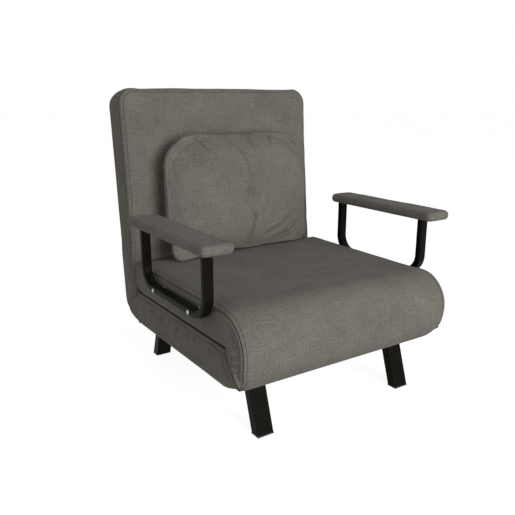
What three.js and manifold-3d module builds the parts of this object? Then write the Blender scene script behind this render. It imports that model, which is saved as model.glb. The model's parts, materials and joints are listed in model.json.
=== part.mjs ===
// A convertible chair bed: a three-section mattress on a steel base with four splayed legs.
// The seat section, with its two armrests, swings forward through half a turn and its armrests
// become the foot legs. The back reclines flat on two side hinges, and a U-shaped leg behind it
// swings out to carry it. A loose pillow leans on the back.
//
// Millimetres, +Z up. The chair faces -Y. "left" is the -X side, which is on the left of someone
// who looks at the chair from the front. Heights are above the floor, and depths ("...Y") run back
// from the front of the nose. The finished group is centred over its own footprint.

import * as THREE from "three";
import { mergeVertices } from "three/addons/utils/BufferGeometryUtils.js";
import Module from "manifold-3d";

const wasm = await Module();
wasm.setup();

// Clearances
const seatedGap = 0.3; // between pieces that touch
const softGap = 0.5; // between foam and what it lies against
const uprightGap = 1; // between the lower section and the back, upright or turning
const divideGap = 1.2; // between the lower section and the hanging front roll
const turnedNoseGap = 1.8; // between the turned seat's nose and the lower section
const slotGap = 0.35; // foam on each side of a plate in its slit
const plateGap = 0.5; // between the two plates of a hinge
const overrun = 5; // how far a cutting tool passes the face it cuts
const weld = 1e-3; // vertices closer than this are one

// Mattress
const mattressWidth = 650;
const mattressBottom = 145;
const sectionGap = 8; // open joint between the lower and the seat section
const foldHeight = 242.5; // half the height of the armrests, so that they reach the floor when turned over
const seatThickness = 74.5;
const seatRearReach = 2.4; // of its rear end past the foot of the back, which leans away
const foamEdgeRadius = 9;
const foamDrawIn = 2.5; // how far the side panels sink between their seams
const seatCrown = 3;
const seatRearRadius = 20;
const foamSmallRadius = 6;
const lowerFrontY = 82; // front of the lower section at the open joint
const lowerTipY = 30; // where its front runs out on the nose
const lowerRearSetback = 11.7; // foot of the back to the top of the lower section's rear end

// Back section, in its own frame: y is its thickness from the front face, z runs up that face
const backRecline = THREE.MathUtils.degToRad(5.256);
const backThickness = 93;
const backTopHeight = 806;
const backFootY = 583.6; // front face at the mattress bottom
const backCornerRadius = 50; // upper corners seen from the front
const backFrontLowRadius = 26;
const backRearLowRadius = 38;
const backFrontTopRadius = 16;
const backRearTopRadius = 28;
const backCrown = 3;

// Steel frames
const baseTube = 24;
const baseTubeWall = 1.5;
const baseRailFrontInset = 38; // behind the front of the lower section
const baseRailRearInset = 23.6; // in front of the foot of the back
const baseCrossY = 330;
const frameTube = 20; // seat and back frames
const frameTubeWall = 1.2;
const frameSideInset = 43; // from the side of the mattress
const seatRailFrontY = 60;
const seatRailRearInset = 26; // from the seat's rear end
const backRailLow = 34; // along the back's face
const backRailTopInset = 63.79; // from the back's upper end
const slatWidth = 40;
const slatThickness = 1.9;
const slatEndGap = 2;
const baseSlatCount = 4;
const seatSlatCount = 3;
const backSlatCount = 3;

// Legs
const legSideInset = 33.3; // from the side of the base frame
const legWidth = 46;
const legDepth = 29;
const legWall = 1.5;
const legEdgeRadius = 2;
const frontLegReach = 71.3; // of the toe past the base frame
const rearLegReach = 88;
const legSlope = 0.321; // sideways travel per unit of height
const legPlateThickness = 2.7;
const legPlateOverlap = 26; // how far the plate reaches along the frame
const legPlateSideInset = 4;
const footPlugHeight = 3;
const footPlugStem = 15;
const footPlugFit = 0.4;

// Hinges
const hingePlate = 3.5;
const hingeEyeRadius = 9;
const rearEyeRadius = 12.6;
const pinRadius = 4;
const pinRunningGap = 0.35;
const pinHeadRadius = 7;
const pinHeadThickness = 2.4;
const bracketFootInset = 10; // behind the front of the base frame
const bracketFootLength = 56;
const bracketRiserWidth = 30;
const leafLength = 76; // along the seat frame
const baseArmLap = 84; // along the base frame
const backArmLow = 96;
const backArmHigh = 200;
const railLap = 2; // plate edge inside the edge of the rail that it is welded to

// Armrests
const armTubeSideGap = 8; // from the side of the mattress
const armTubeWidth = 25;
const armTubeDepth = 18;
const armTubeWall = 1.5;
const armTubeEdgeRadius = 2.5;
const armTubeFrontInset = 51; // behind the front of the pad
const armTubeRearInset = 8; // in front of the pad's rear end
const armTubeDrop = 32; // below the top of the seat
const armBendRadius = 62;
const armPadInward = 28; // from the tube towards the seat
const armPadWidth = 84;
const armPadFrontY = 56;
const armPadLength = 412;
const armPadThickness = 26;
const armPadCornerRadius = 16;
const armPadEdgeRadius = 11;
const armBoardMargin = 17;
const armBoardThickness = 8;
const armBoltFrontInset = 80; // behind the front of the tube
const armBoltRearInset = 77;
const armBoltRadius = 3.5;
const armBoltHeadRadius = 5.5;
const armBoltHeadHeight = 3.6;
const armBoltReach = 11; // past the face of the seat frame
const boltHoleGap = 0.5;
const spacerRadius = 8;

// Support leg behind the back, in the back's frame
const supportTubeRadius = 9;
const supportHalfWidth = 200;
const supportPivotDrop = 100; // below the top of the back frame
const supportBendRadius = 30;
const sleeveLength = 60;
const sleeveWall = 2;
const supportEarThickness = 3;
const supportEarRadius = 10;
const supportEarPlateHeight = 60;
const supportTopReach = 6.5; // of the leg's tube past its pivot

// Pillow, in the back's frame
const pillowWidth = 494;
const pillowHeight = 356;
const pillowFrontSwell = 60;
const pillowRearSwell = 48;
const pillowRimHalf = 5;
const pillowTuftDepth = 20;
const pillowTuftRadius = 42;
const pillowTuftUp = -8; // from the pillow's middle

// Shares and counts that shape the rounded forms
const roundSteps = 3; // facets in a quarter turn of a foam outline
const edgeSteps = 3;
const widthSteps = 5;
const cornerSteps = 3;
const cornerDropShare = 0.85; // of the corner radius, as the foam bulges past a true quarter circle
const sideInsetShare = 0.86;
const pillowRings = 9;
const pillowSegments = 36;
const pillowCornerPower = 4.2;
const pillowSwellPower = 2.3;
const pillowSwellShare = 0.62;
const divideBendShare = 0.045;
const circleSegments = 16;
const smallSegments = 12;

// Worked out from the sizes above
const halfWidth = mattressWidth / 2;
const lowerTop = foldHeight - sectionGap / 2;
const seatBottom = foldHeight + sectionGap / 2;
const mattressTop = seatBottom + seatThickness;
const lowerRearY = backFootY - lowerRearSetback;
const seatEndY = backFootY + seatRearReach;
const foldAxisY = (lowerFrontY - turnedNoseGap) / 2;
const noseRadius = (mattressTop - mattressBottom) / 2;
const noseHeight = mattressBottom + noseRadius;
const frameHalfWidth = halfWidth - frameSideInset;
const leafInnerX = frameHalfWidth + seatedGap;
const leafOuterX = leafInnerX + hingePlate;
const armPlateInnerX = leafOuterX + plateGap;
const armPlateOuterX = armPlateInnerX + hingePlate;
const baseRailOuterX = armPlateInnerX - seatedGap;
const baseRailFrontY = lowerFrontY + baseRailFrontInset;
const baseRailRearY = backFootY - baseRailRearInset;
const seatRailRearY = seatEndY - seatRailRearInset;
const bracketFootFrontY = baseRailFrontY + bracketFootInset;
const bracketFootRearY = bracketFootFrontY + bracketFootLength;
const leafRearY = seatRailFrontY + leafLength;
const baseArmFrontY = baseRailRearY - baseArmLap;
const legOuterX = baseRailOuterX - legSideInset;
const legPlateOuterX = baseRailOuterX - legPlateSideInset;
const frontLegToeY = baseRailFrontY - frontLegReach;
const rearLegToeY = baseRailRearY + rearLegReach;
const armPadTop = 2 * foldHeight;
const armPadBottom = armPadTop - armPadThickness;
const armPadRearY = armPadFrontY + armPadLength;
const armTubeInnerX = halfWidth + armTubeSideGap;
const armPadInnerX = armTubeInnerX - armPadInward;
const armPadOuterX = armPadInnerX + armPadWidth;
const armTubeFrontY = armPadFrontY + armTubeFrontInset;
const armTubeRearY = armPadRearY - armTubeRearInset;
const armTubeBottom = mattressTop - armTubeDrop;
const armBoltFrontY = armTubeFrontY + armBoltFrontInset;
const armBoltRearY = armTubeRearY - armBoltRearInset;
const armAxisHeight = armTubeBottom + armTubeDepth / 2;
const seatRailBottom = armAxisHeight - frameTube / 2;
const seatRailTop = armAxisHeight + frameTube / 2;
const baseRailTop = mattressBottom - slatThickness - seatedGap * 2; // the slats lie between
const baseRailBottom = baseRailTop - baseTube;
const legTop = baseRailBottom - seatedGap;
const backLength = (backTopHeight - mattressBottom) / Math.cos(backRecline);
const backRailHigh = backLength - backRailTopInset;
const supportPivotUp = backRailHigh - supportPivotDrop;
const backTubeRear = backThickness; // the frame lies flush with the rear of the foam
const backTubeFront = backTubeRear - frameTube;
const pinInnerX = leafInnerX - seatedGap - pinHeadThickness;
const pinOuterX = armPlateOuterX + seatedGap + pinHeadThickness;
const sleeveRadius = supportTubeRadius + seatedGap + sleeveWall;
const supportPivotOut = backThickness + sleeveRadius + seatedGap;
// Pivot to cross bar: the bar's sleeves stand on the floor when the back lies flat.
const supportDrop = lowerTop - supportPivotOut - sleeveRadius;
const supportEnd = supportPivotUp - supportDrop;

// The back turns through backTravel about a point that takes the low front corner of the back from
// its upright place to the rear end of the lower section, level with it.
const backTravel = Math.PI / 2 - backRecline;
const pivotSpread = 1 / Math.tan(backTravel / 2);
const rise = lowerTop - mattressBottom;
const retreat = backFootY - lowerRearY;
const backPivotY = (backFootY + lowerRearY + rise * pivotSpread) / 2;
const backPivotZ = (mattressBottom + lowerTop + retreat * pivotSpread) / 2;
// The same point in the back's own frame
const pivotOut =
  (backPivotY - backFootY) * Math.cos(backRecline) -
  (backPivotZ - mattressBottom) * Math.sin(backRecline);
const pivotUp =
  (backPivotY - backFootY) * Math.sin(backRecline) +
  (backPivotZ - mattressBottom) * Math.cos(backRecline);
// Reach of the back's rounded low corner as it turns, which the lower section stays clear of
const cornerReach =
  Math.hypot(pivotOut - backFrontLowRadius, pivotUp - backFrontLowRadius) +
  backFrontLowRadius +
  backCrown +
  uprightGap;

// Materials
const fabric = new THREE.MeshStandardMaterial({ color: "#6b675f", roughness: 0.95 });
const blackSteel = new THREE.MeshStandardMaterial({ color: "#1c1b17", roughness: 0.45, metalness: 0.6 });
const zincSteel = new THREE.MeshStandardMaterial({ color: "#9a9c9e", roughness: 0.4, metalness: 0.9 });
const chrome = new THREE.MeshStandardMaterial({ color: "#d5d7d9", roughness: 0.15, metalness: 1 });
const plastic = new THREE.MeshStandardMaterial({ color: "#161616", roughness: 0.6 });
const plywood = new THREE.MeshStandardMaterial({ color: "#b58f62", roughness: 0.7 });

// Takes an outline drawn as (depth, height) and extruded along its third axis to lie across X.
const ACROSS = new THREE.Matrix4().set(0, 0, 1, 0, 1, 0, 0, 0, 0, 1, 0, 0, 0, 0, 0, 1);

// Booleans

function toSolid(geometry) {
  const bare = geometry.index ? geometry.toNonIndexed() : geometry.clone();
  bare.deleteAttribute("normal");
  bare.deleteAttribute("uv");
  const merged = mergeVertices(bare, weld);
  return new wasm.Manifold(
    new wasm.Mesh({
      numProp: 3,
      vertProperties: merged.attributes.position.array,
      triVerts: new Uint32Array(merged.index.array),
    }),
  );
}

function toGeometry(solid) {
  const mesh = solid.getMesh();
  const geometry = new THREE.BufferGeometry();
  geometry.setAttribute("position", new THREE.BufferAttribute(new Float32Array(mesh.vertProperties), 3));
  geometry.setIndex(new THREE.BufferAttribute(new Uint32Array(mesh.triVerts), 1));
  geometry.computeVertexNormals();
  return geometry;
}

function join(...geometries) {
  return toGeometry(geometries.map(toSolid).reduce((sum, next) => sum.add(next)));
}

function cut(geometry, ...tools) {
  return toGeometry(tools.map(toSolid).reduce((rest, tool) => rest.subtract(tool), toSolid(geometry)));
}

function keepInside(geometry, region) {
  return toGeometry(toSolid(geometry).intersect(toSolid(region)));
}

// Basic solids

function block([x0, x1], [y0, y1], [z0, z1]) {
  const box = new THREE.BoxGeometry(Math.abs(x1 - x0), Math.abs(y1 - y0), Math.abs(z1 - z0));
  return box.translate((x0 + x1) / 2, (y0 + y1) / 2, (z0 + z1) / 2);
}

// The span from a to b on one side of the chair: side is 1 on the right and -1 on the left.
function span(side, a, b) {
  return [side * a, side * b].sort((p, q) => p - q);
}

// A (depth, height) shape extruded across X, with its edges rounded by the bevel.
function across(shape, [x0, x1], bevel = 0, curveSegments = roundSteps * 2) {
  const geometry = new THREE.ExtrudeGeometry(shape, {
    depth: x1 - x0 - 2 * bevel,
    bevelEnabled: bevel > 0,
    bevelThickness: bevel,
    bevelSize: bevel,
    bevelOffset: -bevel,
    bevelSegments: 2,
    curveSegments,
  });
  return geometry.translate(0, 0, x0 + bevel).applyMatrix4(ACROSS);
}

function rodAcross([x0, x1], y, z, radius, segments = smallSegments) {
  const rod = new THREE.CylinderGeometry(radius, radius, x1 - x0, segments);
  return rod.rotateZ(-Math.PI / 2).translate((x0 + x1) / 2, y, z);
}

// A turned piece with its axis across X, pointing to the given side; the profile is (radius, outward).
function turnedAcross(profile, side, y, z, segments = smallSegments) {
  const points = profile.map(([radius, along]) => new THREE.Vector2(radius, along));
  return new THREE.LatheGeometry(points, segments).rotateZ((-side * Math.PI) / 2).translate(0, y, z);
}

function polygon(points) {
  return new THREE.Shape(points.map(([y, z]) => new THREE.Vector2(y, z)));
}

// An outline of straight runs whose corners are rounded, each with its own radius.
function roundedPolygon(corners) {
  const path = new THREE.Shape();
  corners.forEach(([y, z, radius], i) => {
    const before = corners[(i + corners.length - 1) % corners.length];
    const after = corners[(i + 1) % corners.length];
    const here = new THREE.Vector2(y, z);
    const back = new THREE.Vector2(before[0], before[1]).sub(here).normalize();
    const ahead = new THREE.Vector2(after[0], after[1]).sub(here).normalize();
    const half = Math.acos(THREE.MathUtils.clamp(back.dot(ahead), -1, 1)) / 2;
    const leg = radius / Math.tan(half);
    const start = here.clone().addScaledVector(back, leg);
    const end = here.clone().addScaledVector(ahead, leg);
    if (i === 0) path.moveTo(start.x, start.y);
    else path.lineTo(start.x, start.y);
    if (radius > 0) {
      const centre = here.clone().addScaledVector(back.clone().add(ahead).normalize(), radius / Math.sin(half));
      const from = Math.atan2(start.y - centre.y, start.x - centre.x);
      const to = Math.atan2(end.y - centre.y, end.x - centre.x);
      path.absarc(centre.x, centre.y, radius, from, to, back.cross(ahead) > 0);
    }
  });
  path.closePath();
  return path;
}

// Foam forms

// The points of a shape, counterclockwise, with none repeated and none in the middle of a straight run.
function outlinePoints(shape, divisions = roundSteps) {
  const raw = shape.getPoints(divisions);
  const apart = raw.filter((p, i) => p.distanceTo(raw[(i + 1) % raw.length]) > weld * 10);
  const points = apart.filter((p, i) => {
    const before = apart[(i + apart.length - 1) % apart.length];
    const after = apart[(i + 1) % apart.length];
    const a = p.clone().sub(before).normalize();
    const b = after.clone().sub(p).normalize();
    return Math.abs(a.cross(b)) > weld;
  });
  return THREE.ShapeUtils.isClockWise(points) ? points.reverse() : points;
}

// At each point, the sum of the outward normals of its two edges.
function edgeNormalSums(points) {
  return points.map((p, i) => {
    const before = points[(i + points.length - 1) % points.length];
    const after = points[(i + 1) % points.length];
    const a = p.clone().sub(before).normalize();
    const b = after.clone().sub(p).normalize();
    return new THREE.Vector2(a.y + b.y, -a.x - b.x);
  });
}

function outlineNormals(points) {
  return edgeNormalSums(points).map((sum) => sum.normalize());
}

// A shape grown on all sides by a clearance.
function grown(shape, clearance) {
  const points = outlinePoints(shape);
  const sums = edgeNormalSums(points);
  return new THREE.Shape(points.map((p, i) => p.clone().addScaledVector(sums[i], (2 * clearance) / sums[i].lengthSq())));
}

// Sections along the third axis, joined into one closed skin. Each section is {at, points}.
function skin(sections) {
  const count = sections[0].points.length;
  const positions = sections.flatMap(({ at, points }) => points.flatMap((p) => [p.x, p.y, at]));
  const faces = [];
  for (let s = 0; s + 1 < sections.length; s++) {
    for (let i = 0; i < count; i++) {
      const a = s * count + i;
      const b = s * count + ((i + 1) % count);
      faces.push(a, b, b + count, a, b + count, a + count);
    }
  }
  const middle = ({ at, points }) => {
    const sum = points.reduce((total, p) => total.add(p), new THREE.Vector2()).divideScalar(count);
    positions.push(sum.x, sum.y, at);
    return positions.length / 3 - 1;
  };
  const last = (sections.length - 1) * count;
  const firstMiddle = middle(sections[0]);
  const lastMiddle = middle(sections[sections.length - 1]);
  for (let i = 0; i < count; i++) {
    const next = (i + 1) % count;
    faces.push(firstMiddle, next, i, lastMiddle, last + i, last + next);
  }
  const geometry = new THREE.BufferGeometry();
  geometry.setAttribute("position", new THREE.Float32BufferAttribute(positions, 3));
  geometry.setIndex(faces);
  return geometry;
}

// A padded form: an outline swept between two ends, with rounded edges, a crown that swells the
// faces looking along crownWay, and end panels that sink in between their seams. trim moves the
// points of a section by its offset, past trimFrom on each side.
function padded(outline, [from, to], { edge, drawIn, crown = 0, crownWay = null, trim = null, trimFrom = null }) {
  const points = outlinePoints(outline);
  const normals = outlineNormals(points);
  const middle = points.reduce((sum, p) => sum.add(p), new THREE.Vector2()).divideScalar(points.length);
  const centre = (from + to) / 2;
  const half = (to - from) / 2;
  const section = (offset, inset, share) => {
    const bulge = crown * (1 - Math.pow(Math.abs(offset) / half, 2));
    const placed = points.map((p, i) => {
      const facing = crownWay ? Math.max(0, normals[i].dot(crownWay)) : 0;
      const moved = p.clone().addScaledVector(normals[i], bulge * facing * facing - inset);
      moved.sub(middle).multiplyScalar(share).add(middle);
      return trim ? trim(moved, offset) : moved;
    });
    return { at: centre + offset, points: placed };
  };
  const right = [];
  const plain = trimFrom ?? half - edge;
  for (let i = 0; i <= widthSteps; i++) right.push([(plain * i) / widthSteps, 0, 1]);
  if (trimFrom) {
    for (let i = 1; i <= cornerSteps; i++) right.push([plain + ((half - edge - plain) * i) / cornerSteps, 0, 1]);
  }
  const roundEnd = [];
  for (let i = 1; i <= edgeSteps; i++) {
    const turn = (i / edgeSteps) * (Math.PI / 2);
    roundEnd.push([half - edge + edge * Math.sin(turn), edge * (1 - Math.cos(turn)), 1]);
  }
  right.push(...roundEnd, [half - drawIn, edge, sideInsetShare]);
  const left = right.slice(1).map(([offset, inset, share]) => [-offset, inset, share]);
  const sections = [...left.reverse(), ...right].map(([offset, inset, share]) => section(offset, inset, share));
  return skin(sections).applyMatrix4(ACROSS);
}

const UP = new THREE.Vector2(0, 1);
const FORWARD = new THREE.Vector2(-1, 0);

// Point on the nose's half circle at a given height, at its front.
function noseY(height) {
  return noseRadius - Math.sqrt(noseRadius ** 2 - (height - noseHeight) ** 2);
}

function noseAngle(height) {
  return Math.PI - Math.asin((height - noseHeight) / noseRadius);
}

function noseHeightAt(depth) {
  return noseHeight - Math.sqrt(noseRadius ** 2 - (noseRadius - depth) ** 2);
}

// The curve on which the lower section ends behind the hanging nose, moved forward by a clearance.
function dividePoints(clearance) {
  const tip = new THREE.Vector2(lowerTipY - clearance, noseHeightAt(lowerTipY - clearance));
  const top = new THREE.Vector2(lowerFrontY - clearance, lowerTop);
  const bend = new THREE.Vector2(top.x, tip.y + rise * divideBendShare);
  return new THREE.QuadraticBezierCurve(tip, bend, top).getPoints(roundSteps * 2);
}

// The nose's half circle from one of its angles to another.
function noseArc(from, to, steps) {
  const arc = new THREE.EllipseCurve(noseRadius, noseHeight, noseRadius, noseRadius, from, to, to < from);
  return arc.getPoints(steps);
}

// The angle of the nose's lower half at a given depth.
function lowNoseAngle(depth) {
  return Math.PI * 2 + Math.atan2(noseHeightAt(depth) - noseHeight, depth - noseRadius);
}

// A slit in the foam round a hinge plate of the given shape.
function slitRound(side, inner, outer, shape) {
  return across(grown(shape, softGap), span(side, inner - slotGap, outer + slotGap));
}

// A slit that a hinge plate swings through.
function slit(side, inner, outer, depths, heights) {
  return block(span(side, inner - slotGap, outer + slotGap), depths, heights);
}

// Lower section and base

function lowerCushion() {
  const outline = new THREE.Shape();
  const behind = backFootY - backCrown - uprightGap;
  outline.moveTo(noseRadius, mattressBottom);
  outline.lineTo(behind, mattressBottom);
  const lowTurn = Math.asin((mattressBottom + foamSmallRadius - backPivotZ) / cornerReach);
  const highTurn = Math.asin((lowerTop - foamSmallRadius - backPivotZ) / cornerReach);
  for (let i = 0; i <= roundSteps * 2; i++) {
    const turn = lowTurn + ((highTurn - lowTurn) * i) / (roundSteps * 2);
    const reachY = backPivotY - cornerReach * Math.cos(turn);
    const z = backPivotZ + cornerReach * Math.sin(turn);
    outline.lineTo(Math.min(reachY, behind + (z - mattressBottom) * Math.tan(backRecline)), z);
  }
  outline.lineTo(lowerRearY, lowerTop);
  for (const p of dividePoints(0).reverse()) outline.lineTo(p.x, p.y);
  for (const p of noseArc(lowNoseAngle(lowerTipY), Math.PI * 1.5, roundSteps)) outline.lineTo(p.x, p.y);
  outline.closePath();
  const foam = padded(outline, [-halfWidth, halfWidth], { edge: foamEdgeRadius, drawIn: foamDrawIn });
  const slits = [-1, 1].flatMap((side) => [
    slitRound(side, armPlateInnerX, armPlateOuterX, frontBracketShape()),
    slitRound(side, armPlateInnerX, armPlateOuterX, rearBaseArmShape()),
  ]);
  return cut(foam, ...slits);
}

function tubeFrame({ outerX, wall, tube, front, rear, low, crossings }) {
  const high = low + tube;
  const inset = [low + wall, high - wall];
  const outside = [];
  const inside = [];
  for (const side of [-1, 1]) {
    outside.push(block(span(side, outerX - tube, outerX), [front, rear], [low, high]));
    inside.push(block(span(side, outerX - tube + wall, outerX - wall), [front - overrun, rear + overrun], inset));
  }
  for (const y of crossings) {
    outside.push(block([-outerX + tube / 2, outerX - tube / 2], [y, y + tube], [low, high]));
    inside.push(block([-outerX + tube / 2, outerX - tube / 2], [y + wall, y + tube - wall], inset));
  }
  return cut(join(...outside), ...inside);
}

function baseFrame() {
  return tubeFrame({
    outerX: baseRailOuterX,
    wall: baseTubeWall,
    tube: baseTube,
    front: baseRailFrontY,
    rear: baseRailRearY,
    low: baseRailBottom,
    crossings: [baseRailFrontY, baseCrossY, baseRailRearY - baseTube],
  });
}

// A splayed leg: a slanted rectangular tube with a plate on top that bolts under the frame.
function leg(side, toeY, lean, railY) {
  const towards = Math.sign(lean);
  const slant = (z, out) => [toeY + lean * z + towards * out, z];
  const tubeShape = (inset) =>
    polygon(
      [slant(-overrun, inset), slant(-overrun, legDepth - inset), slant(legTop, legDepth - inset), slant(legTop, inset)],
    );
  const outer = across(tubeShape(0), span(side, legOuterX - legWidth, legOuterX), legEdgeRadius);
  const bore = across(tubeShape(legWall), span(side, legOuterX - legWidth + legWall, legOuterX - legWall));
  const far = Math.abs(lean) * legTop + legDepth + overrun;
  const standing = [footPlugHeight + seatedGap, legTop - legPlateThickness / 2];
  const tube = keepInside(cut(outer, bore), block(span(side, 0, legPlateOuterX), [toeY - far, toeY + far], standing));
  const top = toeY + lean * legTop;
  const reach = [top - towards * legEdgeRadius, railY + towards * legPlateOverlap].sort((p, q) => p - q);
  const plate = block(span(side, legOuterX - legWidth, legPlateOuterX), reach, [legTop - legPlateThickness, legTop]);
  return join(tube, plate);
}

function footPlug(side, toeY, lean) {
  const towards = Math.sign(lean);
  const slant = (z, out) => [toeY + lean * z + towards * out, z];
  const flange = across(
    polygon([slant(0, 0), slant(0, legDepth), slant(footPlugHeight, legDepth), slant(footPlugHeight, 0)]),
    span(side, legOuterX - legWidth, legOuterX),
  );
  const inset = legWall + footPlugFit;
  const stem = across(
    polygon([
      slant(0, inset),
      slant(0, legDepth - inset),
      slant(footPlugStem, legDepth - inset),
      slant(footPlugStem, inset),
    ]),
    span(side, legOuterX - legWidth + inset, legOuterX - inset),
  );
  return join(flange, stem);
}

// The plate that rises from the base frame to the front hinge pin.
function frontBracketShape() {
  const low = baseRailBottom + railLap;
  const outline = new THREE.Shape();
  outline.moveTo(bracketFootFrontY, low);
  outline.lineTo(bracketFootRearY, low);
  outline.lineTo(bracketFootRearY, baseRailTop - railLap);
  outline.lineTo(lowerFrontY + hingeEyeRadius + bracketRiserWidth, lowerTop);
  outline.lineTo(lowerFrontY + hingeEyeRadius * 2, foldHeight + hingeEyeRadius);
  outline.lineTo(foldAxisY, foldHeight + hingeEyeRadius);
  outline.absarc(foldAxisY, foldHeight, hingeEyeRadius, Math.PI / 2, -Math.PI / 2, false);
  outline.lineTo(lowerFrontY + railLap, foldHeight - hingeEyeRadius);
  outline.lineTo(lowerFrontY + hingeEyeRadius, foldHeight - hingeEyeRadius * 2);
  outline.lineTo(bracketFootFrontY, baseRailTop);
  outline.closePath();
  return outline;
}

function frontBracket(side) {
  const plate = across(frontBracketShape(), span(side, armPlateInnerX, armPlateOuterX));
  return cut(plate, pinHole(side, foldAxisY, foldHeight));
}

function pinHole(side, y, z) {
  return rodAcross(span(side, leafInnerX - overrun, armPlateOuterX + overrun), y, z, pinRadius + pinRunningGap);
}

// A riveted hinge pin: a shaft through both plates with a flat head at each end.
function hingePin(side, y, z) {
  const profile = [
    [0, pinInnerX],
    [pinHeadRadius, pinInnerX],
    [pinHeadRadius, pinInnerX + pinHeadThickness],
    [pinRadius, pinInnerX + pinHeadThickness],
    [pinRadius, pinOuterX - pinHeadThickness],
    [pinHeadRadius, pinOuterX - pinHeadThickness],
    [pinHeadRadius, pinOuterX],
    [0, pinOuterX],
  ];
  return turnedAcross(profile, side, y, z);
}

// The plate that reaches from the base frame back to the rear hinge pin.
function rearBaseArmShape() {
  const low = baseRailBottom + railLap;
  const toPivot = new THREE.Vector2(backPivotY - baseRailRearY, backPivotZ - (low + baseTube / 2));
  const slope = Math.atan2(toPivot.y, toPivot.x);
  const outline = new THREE.Shape();
  outline.moveTo(baseArmFrontY, low);
  outline.lineTo(baseRailRearY, low);
  outline.lineTo(
    backPivotY + rearEyeRadius * Math.sin(slope),
    backPivotZ - rearEyeRadius * Math.cos(slope),
  );
  outline.absarc(backPivotY, backPivotZ, rearEyeRadius, slope - Math.PI / 2, slope + Math.PI / 2, false);
  outline.lineTo(baseRailRearY - baseTube * 2, baseRailTop - railLap);
  outline.lineTo(baseArmFrontY, baseRailTop - railLap);
  outline.closePath();
  return outline;
}

function rearBaseArm(side) {
  const plate = across(rearBaseArmShape(), span(side, armPlateInnerX, armPlateOuterX));
  return cut(plate, pinHole(side, backPivotY, backPivotZ));
}

function slat([x0, x1], y, z) {
  return block([x0, x1], [y - slatWidth / 2, y + slatWidth / 2], [z, z + slatThickness]);
}

function evenly(count, from, to) {
  return Array.from({ length: count }, (_, i) => from + ((to - from) * (i + 1)) / (count + 1));
}

const baseSlatPlaces = evenly(baseSlatCount, baseRailFrontY, baseRailRearY);
const seatSlatPlaces = evenly(seatSlatCount, seatRailFrontY, seatRailRearY);
const backSlatPlaces = evenly(backSlatCount, backRailLow, backRailHigh);

// Seat section

function seatFoam() {
  const start = noseY(seatBottom);
  const outline = new THREE.Shape();
  outline.moveTo(start, seatBottom);
  outline.lineTo(seatEndY - foamSmallRadius, seatBottom);
  const low = seatBottom + foamSmallRadius;
  outline.absarc(seatEndY - foamSmallRadius, low, foamSmallRadius, -Math.PI / 2, 0, false);
  const high = mattressTop - seatRearRadius;
  outline.absarc(seatEndY - seatRearRadius, high, seatRearRadius, 0, Math.PI / 2, false);
  outline.lineTo(noseRadius, mattressTop);
  for (const p of noseArc(Math.PI / 2, noseAngle(seatBottom), roundSteps * 3)) outline.lineTo(p.x, p.y);
  return padded(outline, [-halfWidth, halfWidth], {
    edge: foamEdgeRadius,
    drawIn: foamDrawIn,
    crown: seatCrown,
    crownWay: UP,
  });
}

// What the seat foam leaves room for: the frame, its slats, the spacers and the hinge plates.
function seatPockets() {
  const room = [-frameHalfWidth - softGap, frameHalfWidth + softGap];
  const level = [seatRailBottom - softGap, seatRailTop + softGap];
  const tube = frameTube + softGap;
  const pockets = [
    block(room, [seatRailFrontY - softGap, seatRailFrontY + tube], level),
    block(room, [seatRailRearY - tube, seatRailRearY + softGap], level),
  ];
  const between = frameHalfWidth - frameTube;
  for (const y of seatSlatPlaces) {
    const depths = [y - slatWidth / 2 - softGap, y + slatWidth / 2 + softGap];
    const heights = [armAxisHeight - slatThickness / 2 - softGap, armAxisHeight + slatThickness / 2 + softGap];
    pockets.push(block([-between, between], depths, heights));
  }
  for (const side of [-1, 1]) {
    const rail = span(side, frameHalfWidth - tube, frameHalfWidth + softGap);
    pockets.push(block(rail, [seatRailFrontY, seatRailRearY], level));
    const eyeRoom = [seatBottom - overrun, foldHeight + hingeEyeRadius + softGap * 2];
    const reach = hingeEyeRadius + softGap;
    pockets.push(
      slitRound(side, leafInnerX, leafOuterX, seatLeafShape()),
      slit(side, pinInnerX, pinOuterX, [foldAxisY - reach, foldAxisY + reach], eyeRoom),
      slit(side, armPlateInnerX, armPlateOuterX, [-overrun, bracketFootFrontY], eyeRoom),
    );
    for (const y of [armBoltFrontY, armBoltRearY]) {
      const through = span(side, frameHalfWidth - softGap, halfWidth + overrun);
      pockets.push(rodAcross(through, y, armAxisHeight, spacerRadius + softGap));
    }
  }
  return pockets;
}

function seatLayer(heights) {
  const room = block([-halfWidth - overrun, halfWidth + overrun], [-overrun, seatEndY + overrun], heights);
  return cut(keepInside(seatFoam(), room), ...seatPockets());
}

// The rounded front that hangs over the lower section and folds away when the seat is turned over.
function frontRoll() {
  const top = seatBottom - seatedGap;
  const outline = new THREE.Shape();
  const tip = lowNoseAngle(lowerTipY - divideGap);
  outline.moveTo(noseY(top), top);
  for (const p of noseArc(noseAngle(top), tip, roundSteps * 3)) outline.lineTo(p.x, p.y);
  for (const p of dividePoints(divideGap)) outline.lineTo(p.x, p.y);
  outline.lineTo(lowerFrontY - divideGap, top);
  outline.closePath();
  const roll = padded(outline, [-halfWidth, halfWidth], { edge: foamEdgeRadius, drawIn: foamDrawIn });
  const reach = hingeEyeRadius + softGap;
  const eyeRoom = [foldHeight - reach, seatBottom];
  const room = [-1, 1].map((side) =>
    slit(side, pinInnerX, pinOuterX, [foldAxisY - reach, lowerFrontY + overrun], eyeRoom),
  );
  return cut(roll, ...room);
}

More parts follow.
